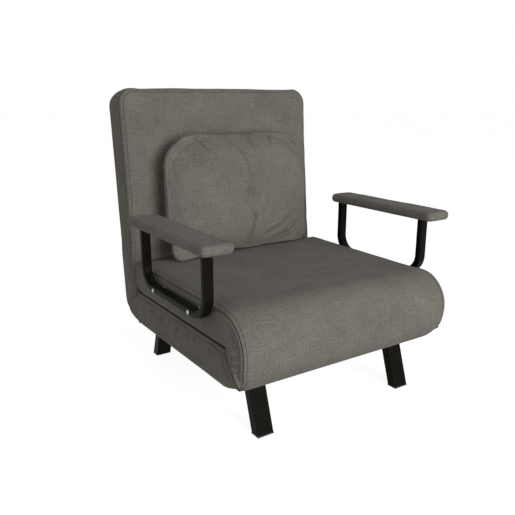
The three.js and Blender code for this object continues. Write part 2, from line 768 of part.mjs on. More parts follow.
function seatFrame() {
  const frame = tubeFrame({
    outerX: frameHalfWidth,
    wall: frameTubeWall,
    tube: frameTube,
    front: seatRailFrontY,
    rear: seatRailRearY,
    low: seatRailBottom,
    crossings: [seatRailFrontY, seatRailRearY - frameTube],
  });
  const holes = [-1, 1].flatMap((side) =>
    [armBoltFrontY, armBoltRearY].map((y) =>
      rodAcross(
        span(side, frameHalfWidth - frameTube / 2, frameHalfWidth + overrun),
        y,
        armAxisHeight,
        armBoltRadius + boltHoleGap,
      ),
    ),
  );
  return cut(frame, ...holes);
}

// The plate on the seat frame that turns on the front hinge pin.
function seatLeafShape() {
  const outline = new THREE.Shape();
  const low = seatRailBottom + railLap;
  const high = seatRailTop - railLap;
  outline.moveTo(foldAxisY, foldHeight - hingeEyeRadius);
  outline.lineTo(foldAxisY + hingeEyeRadius, foldHeight - hingeEyeRadius / 2);
  outline.lineTo(leafRearY, low);
  outline.lineTo(leafRearY, high);
  outline.lineTo(seatRailFrontY + railLap, high);
  outline.lineTo(foldAxisY - hingeEyeRadius, foldHeight);
  outline.absarc(foldAxisY, foldHeight, hingeEyeRadius, Math.PI, (Math.PI * 3) / 2, false);
  outline.closePath();
  return outline;
}

function seatLeaf(side) {
  const plate = across(seatLeafShape(), span(side, leafInnerX, leafOuterX));
  return cut(plate, pinHole(side, foldAxisY, foldHeight));
}

// Armrests

// The U-shaped band of the armrest tube, drawn as (depth, height) and inset by the tube's wall.
function armBand(inset, top) {
  const front = armTubeFrontY + inset;
  const rear = armTubeRearY - inset;
  const low = armTubeBottom + inset;
  const outer = armBendRadius - inset;
  const inner = armBendRadius - armTubeDepth + inset;
  const bendZ = armTubeBottom + armBendRadius;
  const frontBendY = armTubeFrontY + armBendRadius;
  const rearBendY = armTubeRearY - armBendRadius;
  const band = new THREE.Shape();
  band.moveTo(front, top);
  band.lineTo(front, bendZ);
  band.absarc(frontBendY, bendZ, outer, Math.PI, (Math.PI * 3) / 2, false);
  band.lineTo(rearBendY, low);
  band.absarc(rearBendY, bendZ, outer, -Math.PI / 2, 0, false);
  band.lineTo(rear, top);
  band.lineTo(armTubeRearY - armTubeDepth + inset, top);
  band.lineTo(armTubeRearY - armTubeDepth + inset, bendZ);
  band.absarc(rearBendY, bendZ, inner, 0, -Math.PI / 2, true);
  band.absarc(frontBendY, bendZ, inner, -Math.PI / 2, -Math.PI, true);
  band.lineTo(armTubeFrontY + armTubeDepth - inset, top);
  band.closePath();
  return band;
}

function armTube(side) {
  const top = armPadBottom + armBoardThickness;
  const outerX = armTubeInnerX + armTubeWidth;
  const outside = across(armBand(0, top), span(side, armTubeInnerX, outerX), armTubeEdgeRadius, edgeSteps * 2);
  const boreSpan = span(side, armTubeInnerX + armTubeWall, outerX - armTubeWall);
  const bore = across(armBand(armTubeWall, top + overrun), boreSpan, 0, edgeSteps * 2);
  const below = block(
    span(side, armTubeInnerX - overrun, outerX + overrun),
    [armTubeFrontY - overrun, armTubeRearY + overrun],
    [armTubeBottom - overrun, armPadBottom - seatedGap],
  );
  const holes = [armBoltFrontY, armBoltRearY].map((y) =>
    rodAcross(
      span(side, armTubeInnerX - overrun, outerX + overrun),
      y,
      armAxisHeight,
      armBoltRadius + boltHoleGap,
    ),
  );
  return cut(keepInside(cut(outside, bore), below), ...holes);
}

function armBoard(side, grow = 0) {
  const wide = span(side, armPadInnerX + armBoardMargin - grow, armPadOuterX - armBoardMargin + grow);
  const along = [armPadFrontY + armBoardMargin - grow, armPadRearY - armBoardMargin + grow];
  return block(wide, along, [armPadBottom - (grow > 0 ? overrun : 0), armPadBottom + armBoardThickness + grow]);
}

function armPad(side) {
  const [x0, x1] = span(side, armPadInnerX, armPadOuterX);
  const r = armPadCornerRadius;
  const outline = roundedPolygon([
    [x0, armPadFrontY, r],
    [x1, armPadFrontY, r],
    [x1, armPadRearY, r],
    [x0, armPadRearY, r],
  ]);
  const sections = [];
  const points = outlinePoints(outline);
  const normals = outlineNormals(points);
  const half = (armPadTop - armPadBottom) / 2;
  const steps = edgeSteps * 2;
  for (let i = 0; i <= steps; i++) {
    const turn = -Math.PI / 2 + (Math.PI * i) / steps;
    const inset = armPadEdgeRadius * (1 - Math.cos(turn));
    const at = armPadBottom + half + half * Math.sin(turn);
    sections.push({ at, points: points.map((p, k) => p.clone().addScaledVector(normals[k], -inset)) });
  }
  return cut(skin(sections), armBoard(side, softGap));
}

function armBolt(side, y) {
  const face = armTubeInnerX + armTubeWidth + seatedGap;
  const dome = Array.from({ length: edgeSteps }, (_, i) => {
    const turn = ((i + 1) / edgeSteps) * (Math.PI / 2);
    return [armBoltHeadRadius * Math.cos(turn), face + (armBoltHeadHeight / 2) * (1 + Math.sin(turn))];
  });
  const profile = [
    [0, frameHalfWidth - armBoltReach],
    [armBoltRadius, frameHalfWidth - armBoltReach],
    [armBoltRadius, face],
    [armBoltHeadRadius, face],
    [armBoltHeadRadius, face + armBoltHeadHeight / 2],
    ...dome.slice(0, -1),
    [0, face + armBoltHeadHeight],
  ];
  return turnedAcross(profile, side, y, armAxisHeight);
}

function armSpacer(side, y) {
  const inner = frameHalfWidth + seatedGap;
  const outer = armTubeInnerX - seatedGap;
  const bore = armBoltRadius + boltHoleGap;
  const profile = [
    [bore, inner],
    [spacerRadius, inner],
    [spacerRadius, outer],
    [bore, outer],
    [bore, inner],
  ];
  return turnedAcross(profile, side, y, armAxisHeight);
}

// Back section, in the back's frame

function backCushion() {
  const outline = roundedPolygon([
    [0, 0, backFrontLowRadius],
    [backThickness, 0, backRearLowRadius],
    [backThickness, backLength, backRearTopRadius],
    [0, backLength, backFrontTopRadius],
  ]);
  const roundFrom = halfWidth - backCornerRadius;
  const trim = (p, offset) => {
    const past = Math.max(0, Math.abs(offset) - roundFrom);
    const drop = backCornerRadius - Math.sqrt(Math.max(0, backCornerRadius ** 2 - past ** 2));
    const knee = backLength - backCornerRadius * 2;
    const share = Math.max(0, p.y - knee) / (backLength - knee);
    return new THREE.Vector2(p.x, p.y - drop * cornerDropShare * share * share);
  };
  const foam = padded(outline, [-halfWidth, halfWidth], {
    edge: foamEdgeRadius,
    drawIn: foamDrawIn,
    crown: backCrown,
    crownWay: FORWARD,
    trim,
    trimFrom: roundFrom,
  });
  const tube = frameTube + softGap;
  const wide = [-frameHalfWidth - softGap, frameHalfWidth + softGap];
  const through = [backTubeFront - softGap, backThickness + overrun];
  const pockets = [
    block(wide, through, [backRailLow - softGap, backRailLow + tube]),
    block(wide, through, [backRailHigh - tube, backRailHigh + softGap]),
  ];
  const between = frameHalfWidth - frameTube;
  for (const z of backSlatPlaces) {
    const heights = [z - slatWidth / 2 - softGap, z + slatWidth / 2 + softGap];
    pockets.push(block([-between, between], [backSlatFront - softGap, backThickness + overrun], heights));
  }
  for (const side of [-1, 1]) {
    pockets.push(
      block(span(side, frameHalfWidth - tube, frameHalfWidth + softGap), through, [backRailLow, backRailHigh]),
      slit(side, armPlateInnerX, armPlateOuterX, [-backCrown - overrun, backThickness + overrun], [
        -overrun,
        pivotUp + hingeEyeRadius * 2,
      ]),
      slitRound(side, leafInnerX, leafOuterX, rearBackArmShape()),
      slit(
        side,
        pinInnerX,
        pinOuterX,
        [pivotOut - hingeEyeRadius, pivotOut + hingeEyeRadius],
        [pivotUp - hingeEyeRadius, pivotUp + hingeEyeRadius],
      ),
    );
  }
  return cut(foam, ...pockets);
}

const backSlatFront = backTubeFront + frameTube / 2;

function backFrame() {
  const flat = tubeFrame({
    outerX: frameHalfWidth,
    wall: frameTubeWall,
    tube: frameTube,
    front: backRailLow,
    rear: backRailHigh,
    low: -backTubeRear,
    crossings: [backRailLow, backRailHigh - frameTube],
  });
  return flat.rotateX(Math.PI / 2);
}

// The plate on the back frame that turns on the rear hinge pin.
function rearBackArmShape() {
  const outline = new THREE.Shape();
  outline.moveTo(pivotOut - rearEyeRadius, pivotUp);
  outline.absarc(pivotOut, pivotUp, rearEyeRadius, Math.PI, Math.PI * 1.75, false);
  outline.lineTo(backTubeRear - railLap, backArmLow);
  outline.lineTo(backTubeRear - railLap, backArmHigh);
  outline.lineTo(backTubeFront + railLap, backArmHigh);
  outline.lineTo(backTubeFront + railLap, backArmLow + hingeEyeRadius * 2);
  outline.closePath();
  return outline;
}

function rearBackArm(side) {
  const plate = across(rearBackArmShape(), span(side, leafInnerX, leafOuterX));
  return cut(plate, pinHole(side, pivotOut, pivotUp));
}

// Ear plates on the back frame, each with a stub pin that the support leg turns on.
function supportEar(side) {
  const inner = supportHalfWidth + supportTubeRadius + seatedGap;
  const ear = [inner, inner + supportEarThickness];
  const face = backTubeRear + seatedGap;
  const outline = new THREE.Shape();
  outline.moveTo(face, supportPivotUp - supportEarRadius);
  outline.lineTo(supportPivotOut, supportPivotUp - supportEarRadius);
  outline.absarc(supportPivotOut, supportPivotUp, supportEarRadius, -Math.PI / 2, Math.PI / 2, false);
  outline.lineTo(face, supportPivotUp + supportEarRadius);
  outline.closePath();
  const plate = across(outline, span(side, ...ear));
  const flange = block(
    span(side, inner, frameHalfWidth - railLap),
    [face, face + supportEarThickness],
    [supportPivotUp - supportEarPlateHeight / 2, supportPivotUp + supportEarPlateHeight / 2],
  );
  const stub = rodAcross(
    span(side, supportHalfWidth - supportEarThickness, inner + supportEarThickness / 2),
    supportPivotOut,
    supportPivotUp,
    pinRadius,
  );
  return join(plate, flange, stub);
}

// Centre line of the support leg, folded down along the back.
function supportRoute() {
  const end = supportEnd;
  const route = new THREE.CurvePath();
  const at = (x, z) => new THREE.Vector3(x, supportPivotOut, z);
  const run = (a, b) => route.add(new THREE.LineCurve3(at(...a), at(...b)));
  const turn = (a, corner, b) => route.add(new THREE.QuadraticBezierCurve3(at(...a), at(...corner), at(...b)));
  const w = supportHalfWidth;
  const r = supportBendRadius;
  const top = supportPivotUp + supportTopReach;
  run([-w, top], [-w, end + r]);
  turn([-w, end + r], [-w, end], [-w + r, end]);
  run([-w + r, end], [w - r, end]);
  turn([w - r, end], [w, end], [w, end + r]);
  run([w, end + r], [w, top]);
  return route;
}

function supportLeg() {
  const section = new THREE.Shape().absarc(0, 0, supportTubeRadius, 0, Math.PI * 2, false);
  const tube = sweep(section, supportRoute());
  const holes = [-1, 1].map((side) =>
    rodAcross(
      span(side, supportHalfWidth - supportTubeRadius * 2, supportHalfWidth + supportTubeRadius * 2),
      supportPivotOut,
      supportPivotUp,
      pinRadius + pinRunningGap,
    ),
  );
  return cut(tube, ...holes);
}

// A shape swept along the legs and corners of a path, with a step only where it bends.
function sweep(section, route) {
  const stations = [];
  for (const curve of route.curves) {
    const steps = curve.isLineCurve3 ? 1 : roundSteps * 2;
    for (let i = stations.length ? 1 : 0; i <= steps; i++) stations.push(curve.getPoint(i / steps));
  }
  const way = new THREE.CatmullRomCurve3(stations, false, "catmullrom", 0);
  way.getPoint = (t, target = new THREE.Vector3()) => {
    const at = Math.min(stations.length - 1, Math.max(0, t * (stations.length - 1)));
    const i = Math.min(stations.length - 2, Math.floor(at));
    return target.copy(stations[i]).lerp(stations[i + 1], at - i);
  };
  way.getPointAt = way.getPoint;
  way.getTangentAt = (t, target = new THREE.Vector3()) => {
    const i = Math.round(t * (stations.length - 1));
    const before = stations[Math.max(0, i - 1)];
    const after = stations[Math.min(stations.length - 1, i + 1)];
    return target.copy(after).sub(before).normalize();
  };
  return new THREE.ExtrudeGeometry(section, {
    steps: stations.length - 1,
    extrudePath: way,
    curveSegments: circleSegments / 4,
    bevelEnabled: false,
  });
}

// A rubber sleeve round each end of the support leg's cross bar.
function supportSleeve(side) {
  const outer = supportHalfWidth - supportBendRadius - supportTubeRadius;
  const inner = outer - sleeveLength;
  const bore = supportTubeRadius + seatedGap;
  const profile = [
    [bore, inner],
    [sleeveRadius, inner],
    [sleeveRadius, outer],
    [bore, outer],
    [bore, inner],
  ];
  return turnedAcross(profile, side, supportPivotOut, supportEnd, circleSegments);
}

// Pillow, in the back's frame: two swollen faces on one rim, drawn in at a central tuft.
function pillow() {
  const seatTopHere = mattressTop + seatCrown + softGap;
  const lean = -(backCrown + softGap + pillowRimHalf + pillowRearSwell);
  const lowRim = (lean + pillowRimHalf) * Math.sin(backRecline);
  const centreUp = (seatTopHere - mattressBottom + lowRim) / Math.cos(backRecline) + pillowHeight / 2;
  const halfW = pillowWidth / 2;
  const halfH = pillowHeight / 2;
  const positions = [];
  const rimPoint = (turn) => {
    const c = Math.cos(turn);
    const s = Math.sin(turn);
    const grow = 1 / Math.pow(Math.abs(c) ** pillowCornerPower + Math.abs(s) ** pillowCornerPower, 1 / pillowCornerPower);
    return [halfW * c * grow, halfH * s * grow];
  };
  const swell = (share) => Math.pow(Math.max(0, 1 - share ** pillowSwellPower), pillowSwellShare);
  const tuft = (x, z) => Math.exp(-(x * x + (z - pillowTuftUp) ** 2) / (2 * (pillowTuftRadius / 2) ** 2));
  const face = (way, height) => {
    for (let ring = pillowRings; ring >= 1; ring--) {
      const share = Math.sin((ring / pillowRings) * (Math.PI / 2));
      for (let i = 0; i < pillowSegments; i++) {
        const [x, z] = rimPoint((i / pillowSegments) * Math.PI * 2).map((v) => v * share);
        const dip = way < 0 ? pillowTuftDepth * tuft(x, z) : 0;
        positions.push(x, lean + way * (pillowRimHalf + height * swell(share) - dip), centreUp + z);
      }
    }
    const dip = way < 0 ? pillowTuftDepth * tuft(0, 0) : 0;
    positions.push(0, lean + way * (pillowRimHalf + height - dip), centreUp);
  };
  face(-1, pillowFrontSwell);
  face(1, pillowRearSwell);
  const faces = [];
  const side = pillowRings * pillowSegments + 1;
  for (const [start, flip] of [
    [0, false],
    [side, true],
  ]) {
    const add = (a, b, c) => (flip ? faces.push(a, c, b) : faces.push(a, b, c));
    for (let ring = 0; ring + 1 < pillowRings; ring++) {
      for (let i = 0; i < pillowSegments; i++) {
        const a = start + ring * pillowSegments + i;
        const b = start + ring * pillowSegments + ((i + 1) % pillowSegments);
        add(a, b, b + pillowSegments);
        add(a, b + pillowSegments, a + pillowSegments);
      }
    }
    const inner = start + (pillowRings - 1) * pillowSegments;
    for (let i = 0; i < pillowSegments; i++) add(inner + i, inner + ((i + 1) % pillowSegments), start + side - 1);
  }
  for (let i = 0; i < pillowSegments; i++) {
    const next = (i + 1) % pillowSegments;
    faces.push(i, side + i, side + next, i, side + next, next);
  }
  const geometry = new THREE.BufferGeometry();
  geometry.setAttribute("position", new THREE.Float32BufferAttribute(positions, 3));
  geometry.setIndex(faces);
  geometry.computeVertexNormals();
  return geometry;
}

// Assembly

function piece(group, name, geometry, material) {
  const mesh = new THREE.Mesh(geometry, material);
  mesh.name = name;
  group.add(mesh);
}

const SIDES = [
  ["left", -1],
  ["right", 1],
];

const chair = new THREE.Group();
const base = new THREE.Group();
const seat = new THREE.Group();
const back = new THREE.Group();
chair.add(base, seat, back);
back.position.set(0, backFootY, mattressBottom);
back.rotation.x = -backRecline;

piece(base, "base_frame", baseFrame(), blackSteel);
piece(base, "lower_cushion", lowerCushion(), fabric);
baseSlatPlaces.forEach((y, i) => {
  const ends = baseRailOuterX - slatEndGap;
  piece(base, `base_slat_${i + 1}`, slat([-ends, ends], y, baseRailTop + seatedGap), zincSteel);
});
for (const [name, side] of SIDES) {
  const frontRail = baseRailFrontY;
  const rearRail = baseRailRearY;
  piece(base, `leg_front_${name}`, leg(side, frontLegToeY, legSlope, frontRail), blackSteel);
  piece(base, `leg_rear_${name}`, leg(side, rearLegToeY, -legSlope, rearRail), blackSteel);
  piece(base, `foot_front_${name}`, footPlug(side, frontLegToeY, legSlope), plastic);
  piece(base, `foot_rear_${name}`, footPlug(side, rearLegToeY, -legSlope), plastic);
  piece(base, `front_hinge_bracket_${name}`, frontBracket(side), zincSteel);
  piece(base, `front_hinge_pin_${name}`, hingePin(side, foldAxisY, foldHeight), zincSteel);
  piece(base, `rear_hinge_base_arm_${name}`, rearBaseArm(side), zincSteel);
  piece(base, `rear_hinge_pin_${name}`, hingePin(side, backPivotY, backPivotZ), zincSteel);
}

const layerSplit = softGap / 2;
piece(seat, "seat_frame", seatFrame(), blackSteel);
piece(seat, "seat_cushion", seatLayer([armAxisHeight + layerSplit, backTopHeight]), fabric);
piece(seat, "seat_under_cushion", seatLayer([0, armAxisHeight - layerSplit]), fabric);
piece(seat, "front_roll", frontRoll(), fabric);
seatSlatPlaces.forEach((y, i) => {
  const ends = frameHalfWidth - frameTube - seatedGap;
  piece(seat, `seat_slat_${i + 1}`, slat([-ends, ends], y, armAxisHeight - slatThickness / 2), zincSteel);
});
for (const [name, side] of SIDES) {
  piece(seat, `front_hinge_leaf_${name}`, seatLeaf(side), zincSteel);
  piece(seat, `arm_tube_${name}`, armTube(side), blackSteel);
  piece(seat, `arm_board_${name}`, armBoard(side), plywood);
  piece(seat, `arm_pad_${name}`, armPad(side), fabric);
  for (const [end, y] of [
    ["front", armBoltFrontY],
    ["rear", armBoltRearY],
  ]) {
    piece(seat, `arm_bolt_${end}_${name}`, armBolt(side, y), chrome);
    piece(seat, `arm_spacer_${end}_${name}`, armSpacer(side, y), zincSteel);
  }
}

piece(back, "back_frame", backFrame(), blackSteel);
piece(back, "back_cushion", backCushion(), fabric);
backSlatPlaces.forEach((z, i) => {
  const ends = frameHalfWidth - frameTube - seatedGap;
  const heights = [z - slatWidth / 2, z + slatWidth / 2];
  const plate = block([-ends, ends], [backSlatFront, backSlatFront + slatThickness], heights);
  piece(back, `back_slat_${i + 1}`, plate, zincSteel);
});
piece(back, "support_leg", supportLeg(), blackSteel);
for (const [name, side] of SIDES) {
  piece(back, `rear_hinge_back_arm_${name}`, rearBackArm(side), zincSteel);
  piece(back, `support_ear_${name}`, supportEar(side), blackSteel);
  piece(back, `support_sleeve_${name}`, supportSleeve(side), plastic);
}
piece(back, "pillow", pillow(), fabric);

// Centre the chair over its footprint.
chair.updateMatrixWorld(true);
const extent = new THREE.Box3().setFromObject(chair, true);
chair.position.y = -(extent.min.y + extent.max.y) / 2;

export default chair;
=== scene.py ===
"""A convertible chair bed in grey-brown woven cloth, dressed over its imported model.

Lengths are in metres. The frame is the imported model's: +Z up, the chair faces -Y, and the origin is on
the floor under the middle of the chair. Depths called "depth" run back from the front of the nose.
"""

from __future__ import annotations

import json
import logging
import math
from dataclasses import dataclass, field
from enum import Enum
from typing import Callable, Sequence

import bmesh
import bpy
import numpy as np
from mathutils import Matrix, Vector
from mathutils.bvhtree import BVHTree

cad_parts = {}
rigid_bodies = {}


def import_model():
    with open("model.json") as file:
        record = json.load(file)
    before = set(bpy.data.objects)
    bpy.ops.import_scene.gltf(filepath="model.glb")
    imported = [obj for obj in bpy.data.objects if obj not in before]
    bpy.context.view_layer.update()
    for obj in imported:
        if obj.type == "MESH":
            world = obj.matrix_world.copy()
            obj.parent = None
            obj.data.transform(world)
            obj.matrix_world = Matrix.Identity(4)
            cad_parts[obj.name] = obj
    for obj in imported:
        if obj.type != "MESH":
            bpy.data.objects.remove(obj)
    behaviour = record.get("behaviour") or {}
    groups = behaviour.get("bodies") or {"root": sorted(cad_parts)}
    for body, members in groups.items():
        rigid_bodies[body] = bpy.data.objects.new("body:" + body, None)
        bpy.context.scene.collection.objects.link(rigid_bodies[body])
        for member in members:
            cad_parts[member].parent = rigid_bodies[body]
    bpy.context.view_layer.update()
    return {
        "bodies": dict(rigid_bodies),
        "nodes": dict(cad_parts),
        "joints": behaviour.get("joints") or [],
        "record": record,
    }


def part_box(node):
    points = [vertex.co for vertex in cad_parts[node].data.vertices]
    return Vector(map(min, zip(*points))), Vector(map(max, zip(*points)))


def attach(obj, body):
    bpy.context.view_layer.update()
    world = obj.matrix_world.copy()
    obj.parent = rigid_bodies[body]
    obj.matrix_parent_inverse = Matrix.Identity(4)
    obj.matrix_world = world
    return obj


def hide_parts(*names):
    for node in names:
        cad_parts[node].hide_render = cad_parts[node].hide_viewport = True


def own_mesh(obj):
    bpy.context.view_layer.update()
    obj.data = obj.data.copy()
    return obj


LOG = logging.getLogger("chair_bed")

NOSE_FRONT = -0.371798  # the y at which depth 0 lies
CURVE_POINTS = 60  # how finely a curve is drawn before its points are spread evenly


def linear(code: str) -> tuple[float, float, float, float]:
    """Turns an sRGB hex colour into linear RGBA.

    Args:
        code: a colour such as "#6b675f".

    Returns:
        Linear red, green, blue and an alpha of 1.
    """
    channels = [int(code[i : i + 2], 16) / 255 for i in (1, 3, 5)]
    r, g, b = (c / 12.92 if c <= 0.04045 else ((c + 0.055) / 1.055) ** 2.4 for c in channels)
    return (r, g, b, 1.0)


def add_node(tree: bpy.types.NodeTree, kind: str, inputs: dict | None = None, **settings: object) -> bpy.types.Node:
    """Adds one node, sets its properties, and fills or links its inputs.

    Args:
        tree: the shader or geometry node tree.
        kind: the node's type name.
        inputs: by socket name or index, a value or the output socket to link from.
        settings: properties of the node itself.

    Returns:
        The new node.
    """
    node = tree.nodes.new(kind)
    for name, value in settings.items():
        setattr(node, name, value)
    for key, value in (inputs or {}).items():
        if isinstance(value, bpy.types.NodeSocket):
            tree.links.new(value, node.inputs[key])
        else:
            node.inputs[key].default_value = value
    return node


def new_tree(name: str) -> tuple[bpy.types.Material, bpy.types.NodeTree]:
    """Makes a material with an empty node tree.

    Args:
        name: the material's name.

    Returns:
        The material and its node tree.
    """
    material = bpy.data.materials.new(name)
    material.use_nodes = True
    material.node_tree.nodes.clear()
    return material, material.node_tree


def ramp(node: bpy.types.Node, stops: Sequence[tuple[float, str]]) -> bpy.types.NodeSocket:
    """Sets the stops of a colour ramp.

    Args:
        node: the ColorRamp node.
        stops: positions from 0 to 1, each with an sRGB hex colour.

    Returns:
        The node's colour.
    """
    elements = node.color_ramp.elements
    while len(elements) < len(stops):
        elements.new(0.5)
    for element, (position, code) in zip(elements, stops):
        element.position = position
        element.color = linear(code)
    return node.outputs[0]


def placed(name: str, data: bpy.types.ID) -> bpy.types.Object:
    """Makes an object of some data, at the origin.

    Args:
        name: the object's name.
        data: its mesh, curve, light or camera.

    Returns:
        The object, linked to the scene.
    """
    piece = bpy.data.objects.new(name, data)
    bpy.context.scene.collection.objects.link(piece)
    return piece


@dataclass(frozen=True)
class WovenPolyester:
    """Linen-look polyester, melange yarn in a plain weave: dull, with darker and lighter threads,
    thick places in the yarn that run both ways, and a faint nap that catches grazing light."""

    name: str
    mid: str = "#76726a"
    dark: str = "#625e57"
    light: str = "#8a867d"
    # painted shade: the colour that the cloth takes where the crease attribute is full
    crease: str = "#211f1b"
    thread_mm: float = 2.4  # the real threads lie 0.8 mm apart, drawn coarser so that they show
    fleck_mm: float = 4.0
    slub_mm: tuple[float, float] = (2.6, 46.0)
    patches_per_metre: float = 11.0
    tone: tuple[float, float, float] = (0.62, 0.26, 0.26)  # shares of flecks, slubs and patches
    relief: tuple[float, float] = (1.4, 0.7)  # height of flecks and slubs against the weave
    stops: tuple[float, float, float] = (0.52, 0.7, 0.9)  # tones of the dark, middle and light yarn
    wave_scale: float = 314.0  # of a wave texture that repeats every millimetre
    bump_mm: float = 0.35
    bump_strength: float = 0.8
    roughness: float = 0.94
    specular: float = 0.25
    nap: float = 0.06
    nap_roughness: float = 0.45

    def build(self) -> bpy.types.Material:
        """Builds the cloth material, which reads the pattern map of each panel in metres.

        Returns:
            The material.
        """
        material, tree = new_tree(self.name)
        pattern = add_node(tree, "ShaderNodeUVMap", uv_map="pattern").outputs[0]
        space = add_node(tree, "ShaderNodeTexCoord").outputs["Object"]
        flecks = add_node(
            tree,
            "ShaderNodeTexNoise",
            {"Vector": pattern, "Scale": 1000 / self.fleck_mm, "Detail": 3.0, "Roughness": 0.72},
            noise_dimensions="2D",
        ).outputs["Fac"]
        short, long = (1000 / mm for mm in self.slub_mm)
        slubs, waves = [], []
        for scale, bands in (((long, short, 1.0), "X"), ((short, long, 1.0), "Y")):
            stretched = add_node(tree, "ShaderNodeMapping", {"Vector": pattern, "Scale": scale}).outputs[0]
            slub = add_node(
                tree,
                "ShaderNodeTexNoise",
                {"Vector": stretched, "Scale": 1.0, "Detail": 2.0, "Roughness": 0.6},
                noise_dimensions="2D",
            )
            wave = add_node(
                tree,
                "ShaderNodeTexWave",
                {
                    "Vector": pattern,
                    "Scale": self.wave_scale / self.thread_mm,
                    "Distortion": 1.6,
                    "Detail": 1.5,
                    "Detail Scale": 1.2,
                },
                bands_direction=bands,
            )
            slubs.append(slub.outputs["Fac"])
            waves.append(wave.outputs["Fac"])
        patches = add_node(
            tree,
            "ShaderNodeTexNoise",
            {"Vector": space, "Scale": self.patches_per_metre, "Detail": 2.0, "Roughness": 0.55},
        ).outputs["Fac"]
        yarn = add_node(tree, "ShaderNodeMath", {0: slubs[0], 1: slubs[1]}, operation="ADD").outputs[0]
        tone = 0.0
        for part, share in zip((flecks, yarn, patches), self.tone):
            tone = add_node(
                tree, "ShaderNodeMath", {0: part, 1: share, 2: tone}, operation="MULTIPLY_ADD"
            ).outputs[0]
        colours = ramp(
            add_node(tree, "ShaderNodeValToRGB", {"Fac": tone}),
            list(zip(self.stops, (self.dark, self.mid, self.light))),
        )
        # The crease attribute is painted shade: it darkens the cloth in seam grooves, fold hollows and the gap under
        # the seat.
        wear_and_painted_shade = add_node(tree, "ShaderNodeAttribute", attribute_name="crease").outputs["Fac"]
        colour = add_node(
            tree, "ShaderNodeMix", {"Factor": wear_and_painted_shade, 6: colours, 7: linear(self.crease)}, data_type="RGBA"
        ).outputs[2]
        height = add_node(tree, "ShaderNodeMath", {0: waves[0], 1: waves[1]}, operation="MULTIPLY").outputs[0]
        for part, share in zip((flecks, yarn), self.relief):
            height = add_node(
                tree, "ShaderNodeMath", {0: part, 1: share, 2: height}, operation="MULTIPLY_ADD"
            ).outputs[0]
        bump = add_node(
            tree,
            "ShaderNodeBump",
            {"Height": height, "Distance": self.bump_mm / 1000, "Strength": self.bump_strength},
        )
        shader = add_node(
            tree,
            "ShaderNodeBsdfPrincipled",
            {
                "Base Color": colour,
                "Normal": bump.outputs[0],
                "Roughness": self.roughness,
                "Specular IOR Level": self.specular,
                "Sheen Weight": self.nap,
                "Sheen Roughness": self.nap_roughness,
            },
        )
        add_node(tree, "ShaderNodeOutputMaterial", {"Surface": shader.outputs[0]})
        return material


@dataclass(frozen=True)
class PowderCoat:
    """Black powder coat baked on steel tube: near black, with a satin gloss over a fine orange peel."""

    name: str = "black_powder_coat"
    colour: str = "#12100c"
    # a lighter tone of the coat in random clouds; the coat has no painted shade
    wear_and_painted_shade: str = "#181611"
    clouds_per_metre: float = 26.0
    peel_mm: float = 1.6
    peel_depth: float = 0.00012
    peel_strength: float = 0.35
    roughness: float = 0.32
    uneven: float = 0.14  # how far the roughness varies
    specular: float = 0.03

    def build(self) -> bpy.types.Material:
        """Builds the powder coat material.

        Returns:
            The material.
        """
        material, tree = new_tree(self.name)
        space = add_node(tree, "ShaderNodeTexCoord").outputs["Object"]
        cloud = add_node(
            tree, "ShaderNodeTexNoise", {"Vector": space, "Scale": self.clouds_per_metre, "Detail": 4.0}
        ).outputs["Fac"]
        rough = add_node(
            tree,
            "ShaderNodeMath",
            {0: cloud, 1: self.uneven, 2: self.roughness - self.uneven / 2},
            operation="MULTIPLY_ADD",
        )
        peel = add_node(
            tree, "ShaderNodeTexNoise", {"Vector": space, "Scale": 1000 / self.peel_mm, "Detail": 1.0}
        ).outputs["Fac"]
        bump = add_node(
            tree, "ShaderNodeBump", {"Height": peel, "Distance": self.peel_depth, "Strength": self.peel_strength}
        )
        stops = [(0.35, self.colour), (0.75, self.wear_and_painted_shade)]
        shader = add_node(
            tree,
            "ShaderNodeBsdfPrincipled",
            {
                "Base Color": ramp(add_node(tree, "ShaderNodeValToRGB", {"Fac": cloud}), stops),
                "Roughness": rough.outputs[0],
                "Normal": bump.outputs[0],
                "Specular IOR Level": self.specular,
            },
        )
        add_node(tree, "ShaderNodeOutputMaterial", {"Surface": shader.outputs[0]})
        return material


@dataclass(frozen=True)
class PlatedSteel:
    """Plated steel: dull zinc on pressed plates and slats, or bright nickel on turned bolt heads."""

    name: str
    colour: str
    stain: str
    roughness: float
    grain_mm: float = 3.0
    clouds_per_metre: float = 40.0
    uneven: float = 0.12
    relief: float = 0.0001
    relief_strength: float = 0.2

    def build(self) -> bpy.types.Material:
        """Builds the plated metal material.

        Returns:
            The material.
        """
        material, tree = new_tree(self.name)
        space = add_node(tree, "ShaderNodeTexCoord").outputs["Object"]
        spangle = add_node(
            tree, "ShaderNodeTexVoronoi", {"Vector": space, "Scale": 1000 / self.grain_mm, "Randomness": 1.0}
        ).outputs["Distance"]
        cloud = add_node(
            tree, "ShaderNodeTexNoise", {"Vector": space, "Scale": self.clouds_per_metre, "Detail": 5.0}
        ).outputs["Fac"]
        rough = add_node(
            tree, "ShaderNodeMath", {0: spangle, 1: self.uneven, 2: self.roughness}, operation="MULTIPLY_ADD"
        )
        bump = add_node(
            tree, "ShaderNodeBump", {"Height": cloud, "Distance": self.relief, "Strength": self.relief_strength}
        )
        stops = [(0.3, self.stain), (0.6, self.colour)]
        shader = add_node(
            tree,
            "ShaderNodeBsdfPrincipled",
            {
                "Base Color": ramp(add_node(tree, "ShaderNodeValToRGB", {"Fac": cloud}), stops),
                "Roughness": rough.outputs[0],
                "Normal": bump.outputs[0],
                "Metallic": 1.0,
            },
        )
        add_node(tree, "ShaderNodeOutputMaterial", {"Surface": shader.outputs[0]})
        return material


